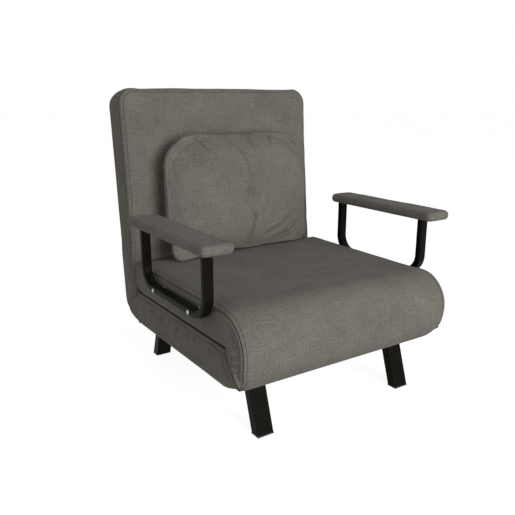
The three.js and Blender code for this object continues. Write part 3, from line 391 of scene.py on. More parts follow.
@dataclass(frozen=True)
class MouldedBlack:
    """Black polymer: the spark-eroded grain of a moulded plug, or the duller skin of a rubber sleeve."""

    name: str
    colour: str
    roughness: float
    grain_mm: float
    bloom: str = "#262523"
    grain_depth: float = 0.0002
    grain_strength: float = 0.4

    def build(self) -> bpy.types.Material:
        """Builds the moulded polymer material.

        Returns:
            The material.
        """
        material, tree = new_tree(self.name)
        space = add_node(tree, "ShaderNodeTexCoord").outputs["Object"]
        grain = add_node(
            tree, "ShaderNodeTexNoise", {"Vector": space, "Scale": 1000 / self.grain_mm, "Detail": 3.0}
        ).outputs["Fac"]
        bump = add_node(
            tree, "ShaderNodeBump", {"Height": grain, "Distance": self.grain_depth, "Strength": self.grain_strength}
        )
        stops = [(0.3, self.colour), (0.8, self.bloom)]
        shader = add_node(
            tree,
            "ShaderNodeBsdfPrincipled",
            {
                "Base Color": ramp(add_node(tree, "ShaderNodeValToRGB", {"Fac": grain}), stops),
                "Normal": bump.outputs[0],
                "Roughness": self.roughness,
            },
        )
        add_node(tree, "ShaderNodeOutputMaterial", {"Surface": shader.outputs[0]})
        return material


@dataclass(frozen=True)
class RawPlywood:
    """Birch plywood, sawn and left raw: pale long grain that runs front to back, with dark pores."""

    name: str = "raw_birch_plywood"
    pore: str = "#8c6a45"
    wood: str = "#b8925f"
    stretch: tuple[float, float, float] = (1.0, 0.06, 1.0)
    grain_mm: float = 3.125
    roughness: float = 0.7

    def build(self) -> bpy.types.Material:
        """Builds the plywood material.

        Returns:
            The material.
        """
        material, tree = new_tree(self.name)
        space = add_node(tree, "ShaderNodeTexCoord").outputs["Object"]
        along = add_node(tree, "ShaderNodeMapping", {"Vector": space, "Scale": self.stretch}).outputs[0]
        grain = add_node(
            tree, "ShaderNodeTexNoise", {"Vector": along, "Scale": 1000 / self.grain_mm, "Detail": 6.0}
        ).outputs["Fac"]
        colours = ramp(add_node(tree, "ShaderNodeValToRGB", {"Fac": grain}), [(0.35, self.pore), (0.6, self.wood)])
        shader = add_node(tree, "ShaderNodeBsdfPrincipled", {"Base Color": colours, "Roughness": self.roughness})
        add_node(tree, "ShaderNodeOutputMaterial", {"Surface": shader.outputs[0]})
        return material


class Finish(Enum):
    """The record's material slots."""

    COVER = "cover_cloth"
    PILLOW = "pillow_cloth"
    ARM = "arm_cloth"
    BLACK_STEEL = "black_steel"
    ZINC = "zinc_steel"
    BRIGHT = "bright_bolt"
    PLASTIC = "black_plastic"
    RUBBER = "black_rubber"
    PLYWOOD = "plywood"


def build_finishes() -> dict[Finish, bpy.types.Material]:
    """Builds every finish of the chair once.

    Returns:
        The materials by slot.
    """
    recipes = {
        Finish.COVER: WovenPolyester("woven_polyester_cover"),
        Finish.PILLOW: WovenPolyester("woven_polyester_pillow", mid="#77736b"),
        Finish.ARM: WovenPolyester("woven_polyester_armrest", mid="#75716a"),
        Finish.BLACK_STEEL: PowderCoat(),
        Finish.ZINC: PlatedSteel("zinc_plated_steel", "#6d6e6e", "#585958", 0.36),
        Finish.BRIGHT: PlatedSteel("bright_nickel_plate", "#a9abad", "#8c8e90", 0.22, 1.0),
        Finish.PLASTIC: MouldedBlack("moulded_polypropylene", "#141414", 0.5, 0.8),
        Finish.RUBBER: MouldedBlack("extruded_rubber", "#121212", 0.75, 1.4),
        Finish.PLYWOOD: RawPlywood(),
    }
    return {finish: recipe.build() for finish, recipe in recipes.items()}


def steps_along(points: np.ndarray) -> np.ndarray:
    """Distance of each point of an open line from its first one."""
    return np.r_[0, np.cumsum(np.linalg.norm(np.diff(points, axis=0), axis=1))]


def looped(points: np.ndarray) -> np.ndarray:
    """A ring with its first entry repeated at its end."""
    return np.concatenate([points, points[:1]])


def resample(points: np.ndarray, count: int) -> np.ndarray:
    """Spreads points evenly along an open line.

    Args:
        points: the line's points.
        count: how many intervals to make.

    Returns:
        count + 1 points, with both ends kept.
    """
    steps = steps_along(points)
    wanted = np.linspace(0, steps[-1], count + 1)
    return np.column_stack([np.interp(wanted, steps, points[:, k]) for k in range(points.shape[1])])


def chained(*runs: tuple[Sequence, int]) -> np.ndarray:
    """Joins lines end to end, each spread into its own number of intervals.

    Args:
        runs: each line's points, and how many intervals to make.

    Returns:
        The points of the whole line, with a shared end counted once.
    """
    parts = [resample(np.array(points), count) for points, count in runs]
    return np.concatenate([*(part[:-1] for part in parts[:-1]), parts[-1]])


def bezier(start: np.ndarray, bend: np.ndarray, end: np.ndarray, count: int) -> np.ndarray:
    """Points of a curve that leaves start towards bend and comes from there to end."""
    t = np.linspace(0, 1, count)[:, None]
    return (1 - t) ** 2 * start + 2 * t * (1 - t) * bend + t**2 * end


def arc(centre: tuple[float, float], radius: float, start: float, end: float, count: int) -> np.ndarray:
    """Points on an arc, with its angles in degrees.

    Args:
        centre: the arc's centre.
        radius: its radius.
        start: the first angle.
        end: the last angle.
        count: how many intervals to make.

    Returns:
        count + 1 points.
    """
    turn = np.radians(np.linspace(start, end, count + 1))
    return np.column_stack([centre[0] + radius * np.cos(turn), centre[1] + radius * np.sin(turn)])


def winding(points: np.ndarray) -> int:
    """Which way a closed outline runs: 1 for counterclockwise, -1 for clockwise."""
    ahead = np.roll(points, -1, axis=0)
    return 1 if np.sum(points[:, 0] * ahead[:, 1] - ahead[:, 0] * points[:, 1]) > 0 else -1


def outward(points: np.ndarray) -> np.ndarray:
    """Outward directions of a closed outline, mitred at its corners.

    Args:
        points: the outline, without its first point repeated.

    Returns:
        One direction per point, as long as a unit offset of the outline needs there.
    """
    before = points - np.roll(points, 1, axis=0)
    after = np.roll(points, -1, axis=0) - points
    before /= np.linalg.norm(before, axis=1, keepdims=True)
    after /= np.linalg.norm(after, axis=1, keepdims=True)
    normal = winding(points) * np.column_stack([before[:, 1] + after[:, 1], -before[:, 0] - after[:, 0]])
    length = np.linalg.norm(normal, axis=1, keepdims=True)
    return normal / np.maximum(length, 0.9) * np.clip(2 / np.maximum(length, 0.9), 1, 1.25)


def coons(bottom: np.ndarray, right: np.ndarray, top: np.ndarray, left: np.ndarray) -> np.ndarray:
    """Fills four edges with a grid.

    Args:
        bottom: from the first corner to the second.
        right: from the second corner to the third.
        top: from the fourth corner to the third.
        left: from the first corner to the fourth.

    Returns:
        Grid of shape (rows, columns, dimensions), its first row being bottom.
    """
    rows, columns = len(left), len(bottom)
    u = np.linspace(0, 1, columns)[None, :, None]
    v = np.linspace(0, 1, rows)[:, None, None]
    ruled = (1 - v) * bottom[None] + v * top[None] + (1 - u) * left[:, None] + u * right[:, None]
    corners = ((1 - u) * (1 - v) * bottom[0] + u * (1 - v) * bottom[-1] + u * v * top[-1] + (1 - u) * v * top[0])
    return ruled - corners


def smooth(value: np.ndarray) -> np.ndarray:
    """Eases from 0 to 1."""
    t = np.clip(value, 0, 1)
    return t * t * (3 - 2 * t)


def run_across(offsets: Sequence[np.ndarray], rings: Sequence[np.ndarray]) -> np.ndarray:
    """How far along the cloth each ring lies from the first.

    Args:
        offsets: each ring's places square to its plane.
        rings: each ring's points in its plane.

    Returns:
        One distance per ring, from the median of its points.
    """
    pairs = zip(offsets[:-1], offsets[1:], rings[:-1], rings[1:])
    steps = [np.median(np.linalg.norm(np.column_stack([b - a, q - p]), axis=1)) for a, b, p, q in pairs]
    return np.r_[0, np.cumsum(steps)]


@dataclass
class SewnEdge:
    """The rounded edge between two panels of a cover: a seam that draws the cloth in, and a row of
    topstitching beside it."""

    radius: float = 0.009
    seam_turn: float = 45.0  # degrees from the end panel, over the rounding, to the wrap
    seam_depth: float = 0.0022
    seam_width: float = 0.0016
    stitch_gap: float | None = 0.012  # along the cloth, past the seam towards the wrap
    stitch_depth: float = 0.0011
    stitch_width: float = 0.0014
    fold_lift: float = 0.0007  # the seam allowance under the cloth between the two lines
    # painted shade in the seam groove and along the row of topstitching, from 0 to 1
    seam_dark: float = 0.8
    stitch_dark: float = 0.6
    panel_margin: float = 0.006  # end panel kept flat next to the rounding
    wrap_margin: float = 0.012
    spread: int = 9  # stations over the whole edge
    close: tuple[float, ...] = (-2.2, -1.1, -0.45, 0, 0.45, 1.1, 2.2)  # and over each line, in widths
    cleared: float = 2.4  # widths around a line that hold no other station
    dark_share: tuple[float, float] = (0.75, 0.7)  # width of the dark in the seam and in the stitching

    def stations(self) -> list[tuple[float, float, float, bool]]:
        """Stations over the edge, from the end panel to the wrap.

        Returns:
            For each: its place along the cloth from the panel's tangent line, how far the cloth
            stands off there, how dark the painted shade in the crease is, and whether the topstitching runs on it.
        """
        quarter = self.radius * math.pi / 2
        seam = quarter * self.seam_turn / 90
        stitch = None if self.stitch_gap is None else seam + self.stitch_gap
        low, high = -self.panel_margin, quarter + self.wrap_margin
        places = set(np.round(np.linspace(low, high, self.spread), 6))
        for centre, width in ((seam, self.seam_width), (stitch, self.stitch_width)):
            if centre is not None:
                places = {p for p in places if abs(p - centre) > width * self.cleared}
                places |= {round(centre + k * width, 6) for k in self.close}
        found = []
        for place in sorted(p for p in places if low <= p <= high):
            lift = -self.seam_depth * math.exp(-(((place - seam) / self.seam_width) ** 2))
            # dark is painted shade, deepest at the seam and at the stitch row
            narrow = self.seam_width * self.dark_share[0]
            dark = self.seam_dark * math.exp(-(((place - seam) / narrow) ** 2))
            if stitch is not None:
                lift -= self.stitch_depth * math.exp(-(((place - stitch) / self.stitch_width) ** 2))
                narrow = self.stitch_width * self.dark_share[1]
                dark = max(dark, self.stitch_dark * math.exp(-(((place - stitch) / narrow) ** 2)))
                if min(seam, stitch) < place < max(seam, stitch):
                    lift += self.fold_lift * math.sin(math.pi * (place - seam) / (stitch - seam))
            found.append((place, lift, dark, stitch is not None and abs(place - stitch) < 1e-5))
        return found

    def profile(
        self, place: float, lift: np.ndarray | float, radius: np.ndarray, shrink: np.ndarray | float = 1.0
    ) -> tuple[np.ndarray, np.ndarray]:
        """Where a station lies at each outline point.

        Args:
            place: along the cloth from the end panel's tangent line.
            lift: how far the cloth stands off.
            radius: the edge's radius at each outline point.
            shrink: share of the inset that there is room for at each point.

        Returns:
            How far in from the end plane it lies, and how far inside the outline.
        """
        quarter = self.radius * math.pi / 2
        if place <= 0:
            return -lift + 0 * radius, (radius - place) * shrink
        if place >= quarter:
            return radius + place - quarter, -lift + 0 * radius
        turn = place / self.radius
        along = radius * (1 - math.cos(turn)) - lift * math.cos(turn)
        inset = radius * (1 - math.sin(turn)) - lift * math.sin(turn)
        return along, inset * shrink


def merged(points: np.ndarray, crease: np.ndarray) -> tuple[np.ndarray, np.ndarray, np.ndarray]:
    """Joins equal points, each of which keeps its darkest painted shade.

    Args:
        points: all the points.
        crease: their painted shade.

    Returns:
        The points left, their painted shade, and each old point's new number.
    """
    _, first, inverse = np.unique(np.round(points, 6), axis=0, return_index=True, return_inverse=True)
    inverse = inverse.reshape(-1)
    dark = np.zeros(len(first))
    np.maximum.at(dark, inverse, crease)
    return points[first], dark, inverse


@dataclass
class Patchwork:
    """Grids of cloth that share their borders, gathered into one mesh."""

    grids: list[tuple[np.ndarray, np.ndarray, np.ndarray, bool]] = field(default_factory=list)
    stitched: list[tuple[int, int]] = field(default_factory=list)

    def add(self, points: np.ndarray, pattern: np.ndarray, crease: np.ndarray, flip: bool = False) -> int:
        """Adds a grid.

        Args:
            points: its points, of shape (rows, columns, 3).
            pattern: each point's place on the flat cloth in metres.
            crease: each point's painted shade from 0 to 1.
            flip: whether its faces turn the other way.

        Returns:
            The grid's number.
        """
        self.grids.append((points, pattern, crease, flip))
        return len(self.grids) - 1

    def stitch(self, grid: int, row: int) -> None:
        """Marks one row of a grid for stitches to follow."""
        self.stitched.append((grid, row))

    def weld(self) -> "Cloth":
        """Joins the grids at equal points.

        Returns:
            The joined cloth.
        """
        points, crease, inverse = merged(
            np.concatenate([g[0].reshape(-1, 3) for g in self.grids]),
            np.concatenate([g[2].reshape(-1) for g in self.grids]),
        )
        quads, patterns, indices = [], [], []
        start = 0
        for grid, pattern, _, flip in self.grids:
            rows, columns = grid.shape[:2]
            index = np.arange(rows * columns).reshape(rows, columns)
            corners = np.stack([index[:-1, :-1], index[:-1, 1:], index[1:, 1:], index[1:, :-1]], -1).reshape(-1, 4)
            if flip:
                corners = corners[:, ::-1]
            quads.append(inverse[corners + start])
            patterns.append(pattern.reshape(-1, 2)[corners])
            indices.append(inverse[index + start])
            start += rows * columns
        runs = [indices[grid][row] for grid, row in self.stitched]
        return Cloth(points, np.concatenate(quads), np.concatenate(patterns), crease, runs)


@dataclass
class Cloth:
    """A closed cloth surface as arrays, with the lines that its topstitching follows."""

    points: np.ndarray
    quads: np.ndarray
    pattern: np.ndarray
    crease: np.ndarray
    runs: list[np.ndarray]

    def normals(self) -> np.ndarray:
        """Works out the surface's directions.

        Returns:
            A unit normal for each point.
        """
        corners = self.points[self.quads]
        face = np.cross(corners[:, 2] - corners[:, 0], corners[:, 3] - corners[:, 1])
        total = np.zeros_like(self.points)
        for k in range(4):
            np.add.at(total, self.quads[:, k], face)
        return total / np.maximum(np.linalg.norm(total, axis=1, keepdims=True), 1e-12)

    def push(self, amount: np.ndarray) -> None:
        """Moves each point along its normal."""
        self.points = self.points + self.normals() * amount[:, None]

    def smoothed(self, values: np.ndarray) -> np.ndarray:
        """Evens out values over the surface.

        Args:
            values: a row of values for each point.

        Returns:
            The values, each mixed half and half with its neighbours' mean.
        """
        total, count = np.zeros_like(values), np.zeros((len(values), 1))
        for k in range(4):
            one, two = self.quads[:, k], self.quads[:, (k + 1) % 4]
            np.add.at(total, one, values[two])
            np.add.at(total, two, values[one])
            np.add.at(count, one, 1)
            np.add.at(count, two, 1)
        return 0.5 * values + 0.5 * total / np.maximum(count, 1)

    def part(self, keep: np.ndarray) -> "Cloth":
        """Cuts out some of the faces, without the stitched lines.

        Args:
            keep: which faces stay.

        Returns:
            The cloth of those faces.
        """
        quads = self.quads[keep]
        used = np.unique(quads)
        number = np.full(len(self.points), -1)
        number[used] = np.arange(len(used))
        return Cloth(self.points[used], number[quads], self.pattern[keep], self.crease[used], [])

    def polygons(self) -> list[list[int]]:
        """Each face's corners, without the doubles of a face that has shrunk to a triangle."""
        return [[int(v) for v in dict.fromkeys(quad)] for quad in self.quads]

    def to_object(self, name: str, finish: bpy.types.Material, sharp: float = 60.0) -> bpy.types.Object:
        """Makes the Blender object.

        Args:
            name: the piece's name.
            finish: its material.
            sharp: edges that turn by more degrees than this stay crisp.

        Returns:
            The object, at the origin.
        """
        corners = self.polygons()
        kept = [i for i, q in enumerate(corners) if len(q) > 2]
        mesh = bpy.data.meshes.new(name)
        mesh.from_pydata(self.points.tolist(), [], [corners[i] for i in kept])
        flat = []
        for i in kept:
            seen: dict[int, int] = {}
            for k, v in enumerate(self.quads[i]):
                seen.setdefault(int(v), k)
            flat += [self.pattern[i][k] for k in seen.values()]
        layer = mesh.uv_layers.new(name="pattern")
        layer.data.foreach_set("uv", np.array(flat, dtype=np.float32).reshape(-1))
        # the crease attribute carries the painted shade to the cloth material
        mesh.attributes.new("crease", "FLOAT", "POINT").data.foreach_set("value", self.crease.astype(np.float32))
        mesh.validate()
        return dressed(placed(name, mesh), finish, sharp)


def dressed(piece: bpy.types.Object, finish: bpy.types.Material, sharp: float) -> bpy.types.Object:
    """Gives a mesh object its finish and smooth shading.

    Args:
        piece: the object.
        finish: its material.
        sharp: edges that turn by more degrees than this stay crisp.

    Returns:
        The same object.
    """
    piece.data.materials.append(finish)
    piece.data.shade_smooth()
    piece.data.set_sharp_from_angle(angle=math.radians(sharp))
    return piece


@dataclass(frozen=True)
class Fold:
    """A crease or pull in the cloth along a line, drawn on a flat view of it."""

    path: tuple[tuple[float, float], ...]
    depth: float
    width: float
    shoulder: float = 0.4  # how high the cloth stands beside it, as a share of the depth
    # painted shade in the fold's hollow, from 0 to 1
    dark: float = 0.0


def lay_folds(cloth: Cloth, folds: Sequence[Fold], flat: np.ndarray, strength: np.ndarray) -> None:
    """Presses folds into a cloth and paints shade into their hollows, each fading out towards its ends.

    Args:
        cloth: the cloth to change.
        folds: the folds.
        flat: each point's place in the flat view that the folds are drawn on.
        strength: each point's share of the folds, 0 where that view doesn't show it.
    """
    amount = np.zeros(len(cloth.points))
    for fold in folds:
        path = np.array(fold.path)
        low, high = path.min(0) - 4 * fold.width, path.max(0) + 4 * fold.width
        near = np.flatnonzero(np.all((flat > low) & (flat < high), axis=1) & (strength > 0))
        if not len(near):
            continue
        here = flat[near]
        lengths = steps_along(path)
        best, where = np.full(len(near), 1e9), np.zeros(len(near))
        for a, b, start in zip(path[:-1], path[1:], lengths[:-1]):
            way = b - a
            t = np.clip(((here - a) @ way) / (way @ way), 0, 1)
            distance = np.linalg.norm(here - a - t[:, None] * way, axis=1)
            closer = distance < best
            best = np.where(closer, distance, best)
            where = np.where(closer, start + t * np.linalg.norm(way), where)
        fade = np.sin(np.pi * np.clip(where / lengths[-1], 0.03, 0.97)) ** 0.6 * strength[near]
        hollow = np.exp(-((best / fold.width) ** 2))
        amount[near] += fade * fold.depth * (
            fold.shoulder * np.exp(-(((best - 1.9 * fold.width) / fold.width) ** 2)) - hollow
        )
        # painted shade in the hollow
        cloth.crease[near] = np.maximum(cloth.crease[near], fold.dark * fade * hollow)
    cloth.push(amount)


def side_view(cloth: Cloth, side: int, half_width: float) -> tuple[np.ndarray, np.ndarray]:
    """A cloth's points as seen from one side.

    Args:
        cloth: the cloth.
        side: -1 for the left side, 1 for the right.
        half_width: where the side panel lies.

    Returns:
        The points as (depth, height), and how far each belongs to that side's panel, from 0 to 1.
    """
    flat = np.column_stack([cloth.points[:, 1] - NOSE_FRONT, cloth.points[:, 2]])
    return flat, smooth((side * cloth.points[:, 0] - half_width + 0.008) / 0.005)


@dataclass
class Filling:
    """Stuffing under a cover: a coarse copy is simulated as cloth under pressure, and the way it
    swells and gathers is carried over to the fine cover."""

    voxel: float
    cap: float
    pressure: float = 4.0
    frames: int = 20
    stiffness: float = 15.0
    bending: float = 0.5
    smoothing: int = 5
    quality: int = 4
    mass: float = 0.3
    kept: tuple[int, ...] = ()  # axes along which the cover keeps its overall size

    def swell(self, cloth: Cloth, share: np.ndarray | float = 1.0) -> np.ndarray:
        """Works out how the filling moves a cover.

        Args:
            cloth: the cover.
            share: how freely each point may move, from 0 to 1.

        Returns:
            Each point's move.
        """
        moved = np.zeros_like(cloth.points)
        coarse = self._remeshed(cloth)
        rest = self._places(coarse.data)
        polygons = [tuple(p.vertices) for p in coarse.data.polygons]
        swollen = self._simulated(coarse)
        for k in self.kept:
            low, high = rest[:, k].min(), rest[:, k].max()
            least, most = swollen[:, k].min(), swollen[:, k].max()
            swollen[:, k] = low + (swollen[:, k] - least) * (high - low) / (most - least)
        moves = swollen - rest
        moves -= moves.mean(0)
        length = np.linalg.norm(moves, axis=1, keepdims=True)
        moves *= self.cap * np.tanh(length / self.cap) / np.maximum(length, 1e-9)
        tree = BVHTree.FromPolygons(rest.tolist(), polygons)
        for i, point in enumerate(cloth.points.tolist()):
            spot, _, index, _ = tree.find_nearest(point)
            corners = list(polygons[index])
            weight = 1 / (np.sum((rest[corners] - np.array(spot)) ** 2, axis=1) + 1e-8)
            moved[i] = weight @ moves[corners] / weight.sum()
        moved *= np.reshape(np.broadcast_to(share, len(moved)), (-1, 1))
        for _ in range(self.smoothing):
            moved = cloth.smoothed(moved)
        farthest = 1000 * np.linalg.norm(moved, axis=1).max()
        LOG.info("filled %d points through %d, moved up to %.1f mm", len(moved), len(rest), farthest)
        return moved

    def _remeshed(self, cloth: Cloth) -> bpy.types.Object:
        """Makes a coarse even copy of the cover.

        Args:
            cloth: the cover.

        Returns:
            The copy's object.
        """
        mesh = bpy.data.meshes.new("coarse")
        mesh.from_pydata(cloth.points.tolist(), [], cloth.polygons())
        piece = placed("coarse", mesh)
        remesh = piece.modifiers.new("even", "REMESH")
        remesh.mode, remesh.voxel_size = "VOXEL", self.voxel
        bpy.context.view_layer.update()
        even = bpy.data.meshes.new_from_object(piece.evaluated_get(bpy.context.evaluated_depsgraph_get()))
        piece.modifiers.clear()
        piece.data = even
        return piece

    def _simulated(self, coarse: bpy.types.Object) -> np.ndarray:
        """Runs the simulation and removes the copy.

        Args:
            coarse: the copy.

        Returns:
            Where its points end.
        """
        modifier = coarse.modifiers.new("filling", "CLOTH")
        settings = modifier.settings
        settings.quality, settings.mass = self.quality, self.mass
        settings.tension_stiffness = settings.compression_stiffness = self.stiffness
        settings.shear_stiffness, settings.bending_stiffness = self.stiffness / 3, self.bending
        settings.use_pressure, settings.uniform_pressure_force = True, self.pressure
        settings.effector_weights.gravity = 0.0
        modifier.point_cache.frame_start, modifier.point_cache.frame_end = 1, self.frames
        scene = bpy.context.scene
        for frame in range(1, self.frames + 1):
            scene.frame_set(frame)
        evaluated = coarse.evaluated_get(bpy.context.evaluated_depsgraph_get())
        places = self._places(evaluated.data)
        scene.frame_set(1)
        bpy.data.objects.remove(coarse)
        return places

    @staticmethod
    def _places(mesh: bpy.types.Mesh) -> np.ndarray:
        """Reads a mesh.

        Args:
            mesh: the mesh.

        Returns:
            Its points as an array.
        """
        flat = np.empty(len(mesh.vertices) * 3, dtype=np.float32)
        mesh.vertices.foreach_get("co", flat)
        return flat.reshape(-1, 3).astype(float)


def ripple(points: np.ndarray, wavelength: float, seed: int) -> np.ndarray:
    """Smooth uneven waves through space, from -1 to 1 or so.

    Args:
        points: where to read them.
        wavelength: their usual length.
        seed: which set of waves.

    Returns:
        One value per point.
    """
    rng = np.random.default_rng(seed)
    total = np.zeros(len(points))
    for _ in range(9):
        way = rng.normal(size=3)
        way *= 2 * np.pi / (wavelength * rng.uniform(0.7, 1.6) * np.linalg.norm(way))
        total += np.sin(points @ way + rng.uniform(0, 2 * np.pi))
    return total / 4.2


@dataclass
class Stitcher:
    """Rows of topstitching, made by one geometry node tree that lays a short thread at every step."""

    pitch: float = 0.0052
    length: float = 0.0036
    thickness: float = 0.0009

    def __post_init__(self) -> None:
        """Builds the node tree with its named inputs."""
        tree = bpy.data.node_groups.new("topstitching", "GeometryNodeTree")
        for name, kind, default in (
            ("Geometry", "NodeSocketGeometry", None),
            ("Pitch", "NodeSocketFloat", self.pitch),
            ("Length", "NodeSocketFloat", self.length),
            ("Thickness", "NodeSocketFloat", self.thickness),
            ("Thread", "NodeSocketMaterial", None),
        ):
            socket = tree.interface.new_socket(name, in_out="INPUT", socket_type=kind)
            if default is not None:
                socket.default_value = default
        tree.interface.new_socket("Geometry", in_out="OUTPUT", socket_type="NodeSocketGeometry")
        given = add_node(tree, "NodeGroupInput").outputs
        spread = add_node(
            tree, "GeometryNodeResampleCurve", {"Curve": given["Geometry"], "Length": given["Pitch"]}, mode="LENGTH"
        ).outputs[0]
        tangent = add_node(tree, "GeometryNodeInputTangent").outputs[0]
        turn = add_node(tree, "FunctionNodeAlignRotationToVector", {"Vector": tangent}, axis="X").outputs[0]
        thread = add_node(
            tree, "GeometryNodeMeshUVSphere", {"Segments": 6, "Rings": 5, "Radius": 0.5}
        ).outputs["Mesh"]
        size = add_node(
            tree, "ShaderNodeCombineXYZ", {"X": given["Length"], "Y": given["Thickness"], "Z": given["Thickness"]}
        ).outputs[0]
        laid = add_node(
            tree,
            "GeometryNodeInstanceOnPoints",
            {"Points": spread, "Instance": thread, "Rotation": turn, "Scale": size},
        ).outputs[0]
        whole = add_node(tree, "GeometryNodeRealizeInstances", {0: laid}).outputs[0]
        coated = add_node(
            tree, "GeometryNodeSetMaterial", {"Geometry": whole, "Material": given["Thread"]}
        ).outputs[0]
        add_node(tree, "NodeGroupOutput", {0: coated})
        self.tree = tree

    def sew(self, name: str, runs: Sequence[np.ndarray], finish: bpy.types.Material) -> bpy.types.Object:
        """Lays stitches along lines.

        Args:
            name: the piece's name.
            runs: the lines, each an array of points.
            finish: the thread's material.

        Returns:
            One mesh object that holds every stitch.
        """
        curve = bpy.data.curves.new(name + "_line", "CURVE")
        curve.dimensions = "3D"
        for run in runs:
            spline = curve.splines.new("POLY")
            spline.points.add(len(run) - 1)
            places = np.column_stack([run, np.ones(len(run))]).astype(np.float32)
            spline.points.foreach_set("co", places.reshape(-1))
        return realise(placed(name + "_line", curve), self.tree, {"Thread": finish}, name)


def realise(
    source: bpy.types.Object, tree: bpy.types.NodeTree, values: dict[str, object], name: str
) -> bpy.types.Object:
    """Runs a geometry node tree on an object and keeps the result as a plain mesh.

    Args:
        source: the object that the tree works on, which is removed afterwards.
        tree: the geometry node tree.
        values: the tree's inputs by name.
        name: the new piece's name.

    Returns:
        The plain mesh object.
    """
    modifier = source.modifiers.new("made", "NODES")
    modifier.node_group = tree
    for item in tree.interface.items_tree:
        if item.item_type == "SOCKET" and item.in_out == "INPUT" and item.name in values:
            modifier[item.identifier] = values[item.name]
    bpy.context.view_layer.update()
    evaluated = source.evaluated_get(bpy.context.evaluated_depsgraph_get())
    mesh = bpy.data.meshes.new_from_object(evaluated)
    mesh.name = name
    bpy.data.objects.remove(source)
    mesh.shade_smooth()
    return placed(name, mesh)


@dataclass
class Mattress:
    """Sizes that the three sections share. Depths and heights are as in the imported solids."""

    half_width: float = 0.325
    bottom: float = 0.145
    top: float = 0.321
    fold_height: float = 0.2425
    joint: float = 0.008
    lower_front: float = 0.082
    lower_tip: float = 0.030
    lower_rear: float = 0.5719
    seat_end: float = 0.586
    divide_gap: float = 0.0009
    pitch: float = 0.0048  # spacing of the cloth's points
    hang: float = 0.019  # how far the front hangs below the lower section
    side_hang: float = 0.7  # share of that at the side panels
    side_tip: float = 217.4  # angle at which the side panel of the front ends
    easing: int = 40  # rounds of smoothing at the tips of the side panels
    side_drop: tuple[float, float] = (0.0095, 0.0040)  # how much lower the seat's underside and the
    # lower section's top lie at the sides, where they nearly touch
    side_bend: tuple[float, float] = (0.068, 0.1695)  # what the divide on the side panels bends towards
    tuck: float = 0.0035

    @property
    def lower_top(self) -> float:
        """Height of the lower section's top."""
        return self.fold_height - self.joint / 2

    @property
    def seat_bottom(self) -> float:
        """Height of the seat section's underside."""
        return self.fold_height + self.joint / 2

    @property
    def nose_radius(self) -> float:
        """Radius of the nose's half circle."""
        return (self.top - self.bottom) / 2

    @property
    def nose_height(self) -> float:
        """Height of the nose's centre."""
        return self.bottom + self.nose_radius

    def nose_point(self, degrees: float) -> np.ndarray:
        """Point of the nose's circle at an angle from straight back, counterclockwise over the top."""
        r, turn = self.nose_radius, math.radians(degrees)
        return np.array([r + r * math.cos(turn), self.nose_height + r * math.sin(turn)])

    def nose_angle(self, depth: float) -> float:
        """Angle of the nose's lower half at a depth, in degrees."""
        r = self.nose_radius
        return 360 - math.degrees(math.acos((depth - r) / r))

    def belly_point(self, degrees: float, share: float) -> np.ndarray:
        """Point of the nose's front, whose lower half hangs.

        Args:
            degrees: angle on the nose's circle.
            share: how much of the hang there is.

        Returns:
            The point as (depth, height).
        """
        drop = self.hang * share * float(smooth(np.array((degrees - 178) / 30)))
        return self.nose_point(degrees) - [0.0, drop]

    def divide(self, clearance: float, count: int, at_side: bool) -> np.ndarray:
        """The curve between the lower section and the hanging front, from its tip up.

        Args:
            clearance: how far forward of the lower section it lies.
            count: how many intervals to make.
            at_side: whether it is the curve on the side panels or the one inside.

        Returns:
            count + 1 points as (depth, height).
        """
        top = np.array([self.lower_front - clearance, self.lower_top])
        if at_side:
            top[1] -= self.side_drop[1]
            tip = self.belly_point(self.side_tip, self.side_hang) + [0.0, clearance * 0.6]
            bend = np.array([self.side_bend[0] - clearance, self.side_bend[1]])
        else:
            tip = self.nose_point(self.nose_angle(self.lower_tip - clearance))
            bend = np.array([top[0], tip[1] + (self.lower_top - self.bottom) * 0.045])
        return resample(bezier(tip, bend, top, CURVE_POINTS), count)

    def tucked(self, cloth: Cloth) -> None:
        """Draws the sides in towards the tip under the nose.

        Args:
            cloth: the cloth to change.
        """
        x, depth, height = cloth.points[:, 0], cloth.points[:, 1] - NOSE_FRONT, cloth.points[:, 2]
        share = smooth((0.212 - height) / 0.045) * smooth((0.085 - depth) / 0.045)
        share = share * smooth((np.abs(x) - 0.285) / 0.035)
        cloth.points[:, 0] = x - np.sign(x) * self.tuck * share

    def eased(self, cloth: Cloth) -> None:
        """Rounds off the sharp end of the side panels under the nose.

        Args:
            cloth: the cloth to change.
        """
        tip = self.belly_point(self.side_tip, self.side_hang)
        reach = np.hypot(cloth.points[:, 1] - NOSE_FRONT - tip[0], cloth.points[:, 2] - tip[1])
        near = smooth((0.018 - reach) / 0.010)
        near = near * smooth((np.abs(cloth.points[:, 0]) - self.half_width + 0.024) / 0.010)
        for _ in range(self.easing):
            cloth.points = cloth.points + near[:, None] * (cloth.smoothed(cloth.points) - cloth.points)

    def shaded(self, cloth: Cloth) -> None:
        """Paints shade into the cloth inside the fold between the seat and the lower section.

        Args:
            cloth: the cloth to change.
        """
        depth, height = cloth.points[:, 1] - NOSE_FRONT, cloth.points[:, 2]
        line = self.seat_bottom - self.side_drop[0]
        inside = smooth((self.half_width - 0.0015 - np.abs(cloth.points[:, 0])) / 0.003)
        near = smooth((0.0060 - np.abs(height - line)) / 0.003) * smooth((depth - 0.070) / 0.010)
        near = near * smooth((np.abs(cloth.points[:, 0]) - self.half_width + 0.03) / 0.01)
        # painted shade in the gap
        cloth.crease = np.maximum(cloth.crease, inside * near)


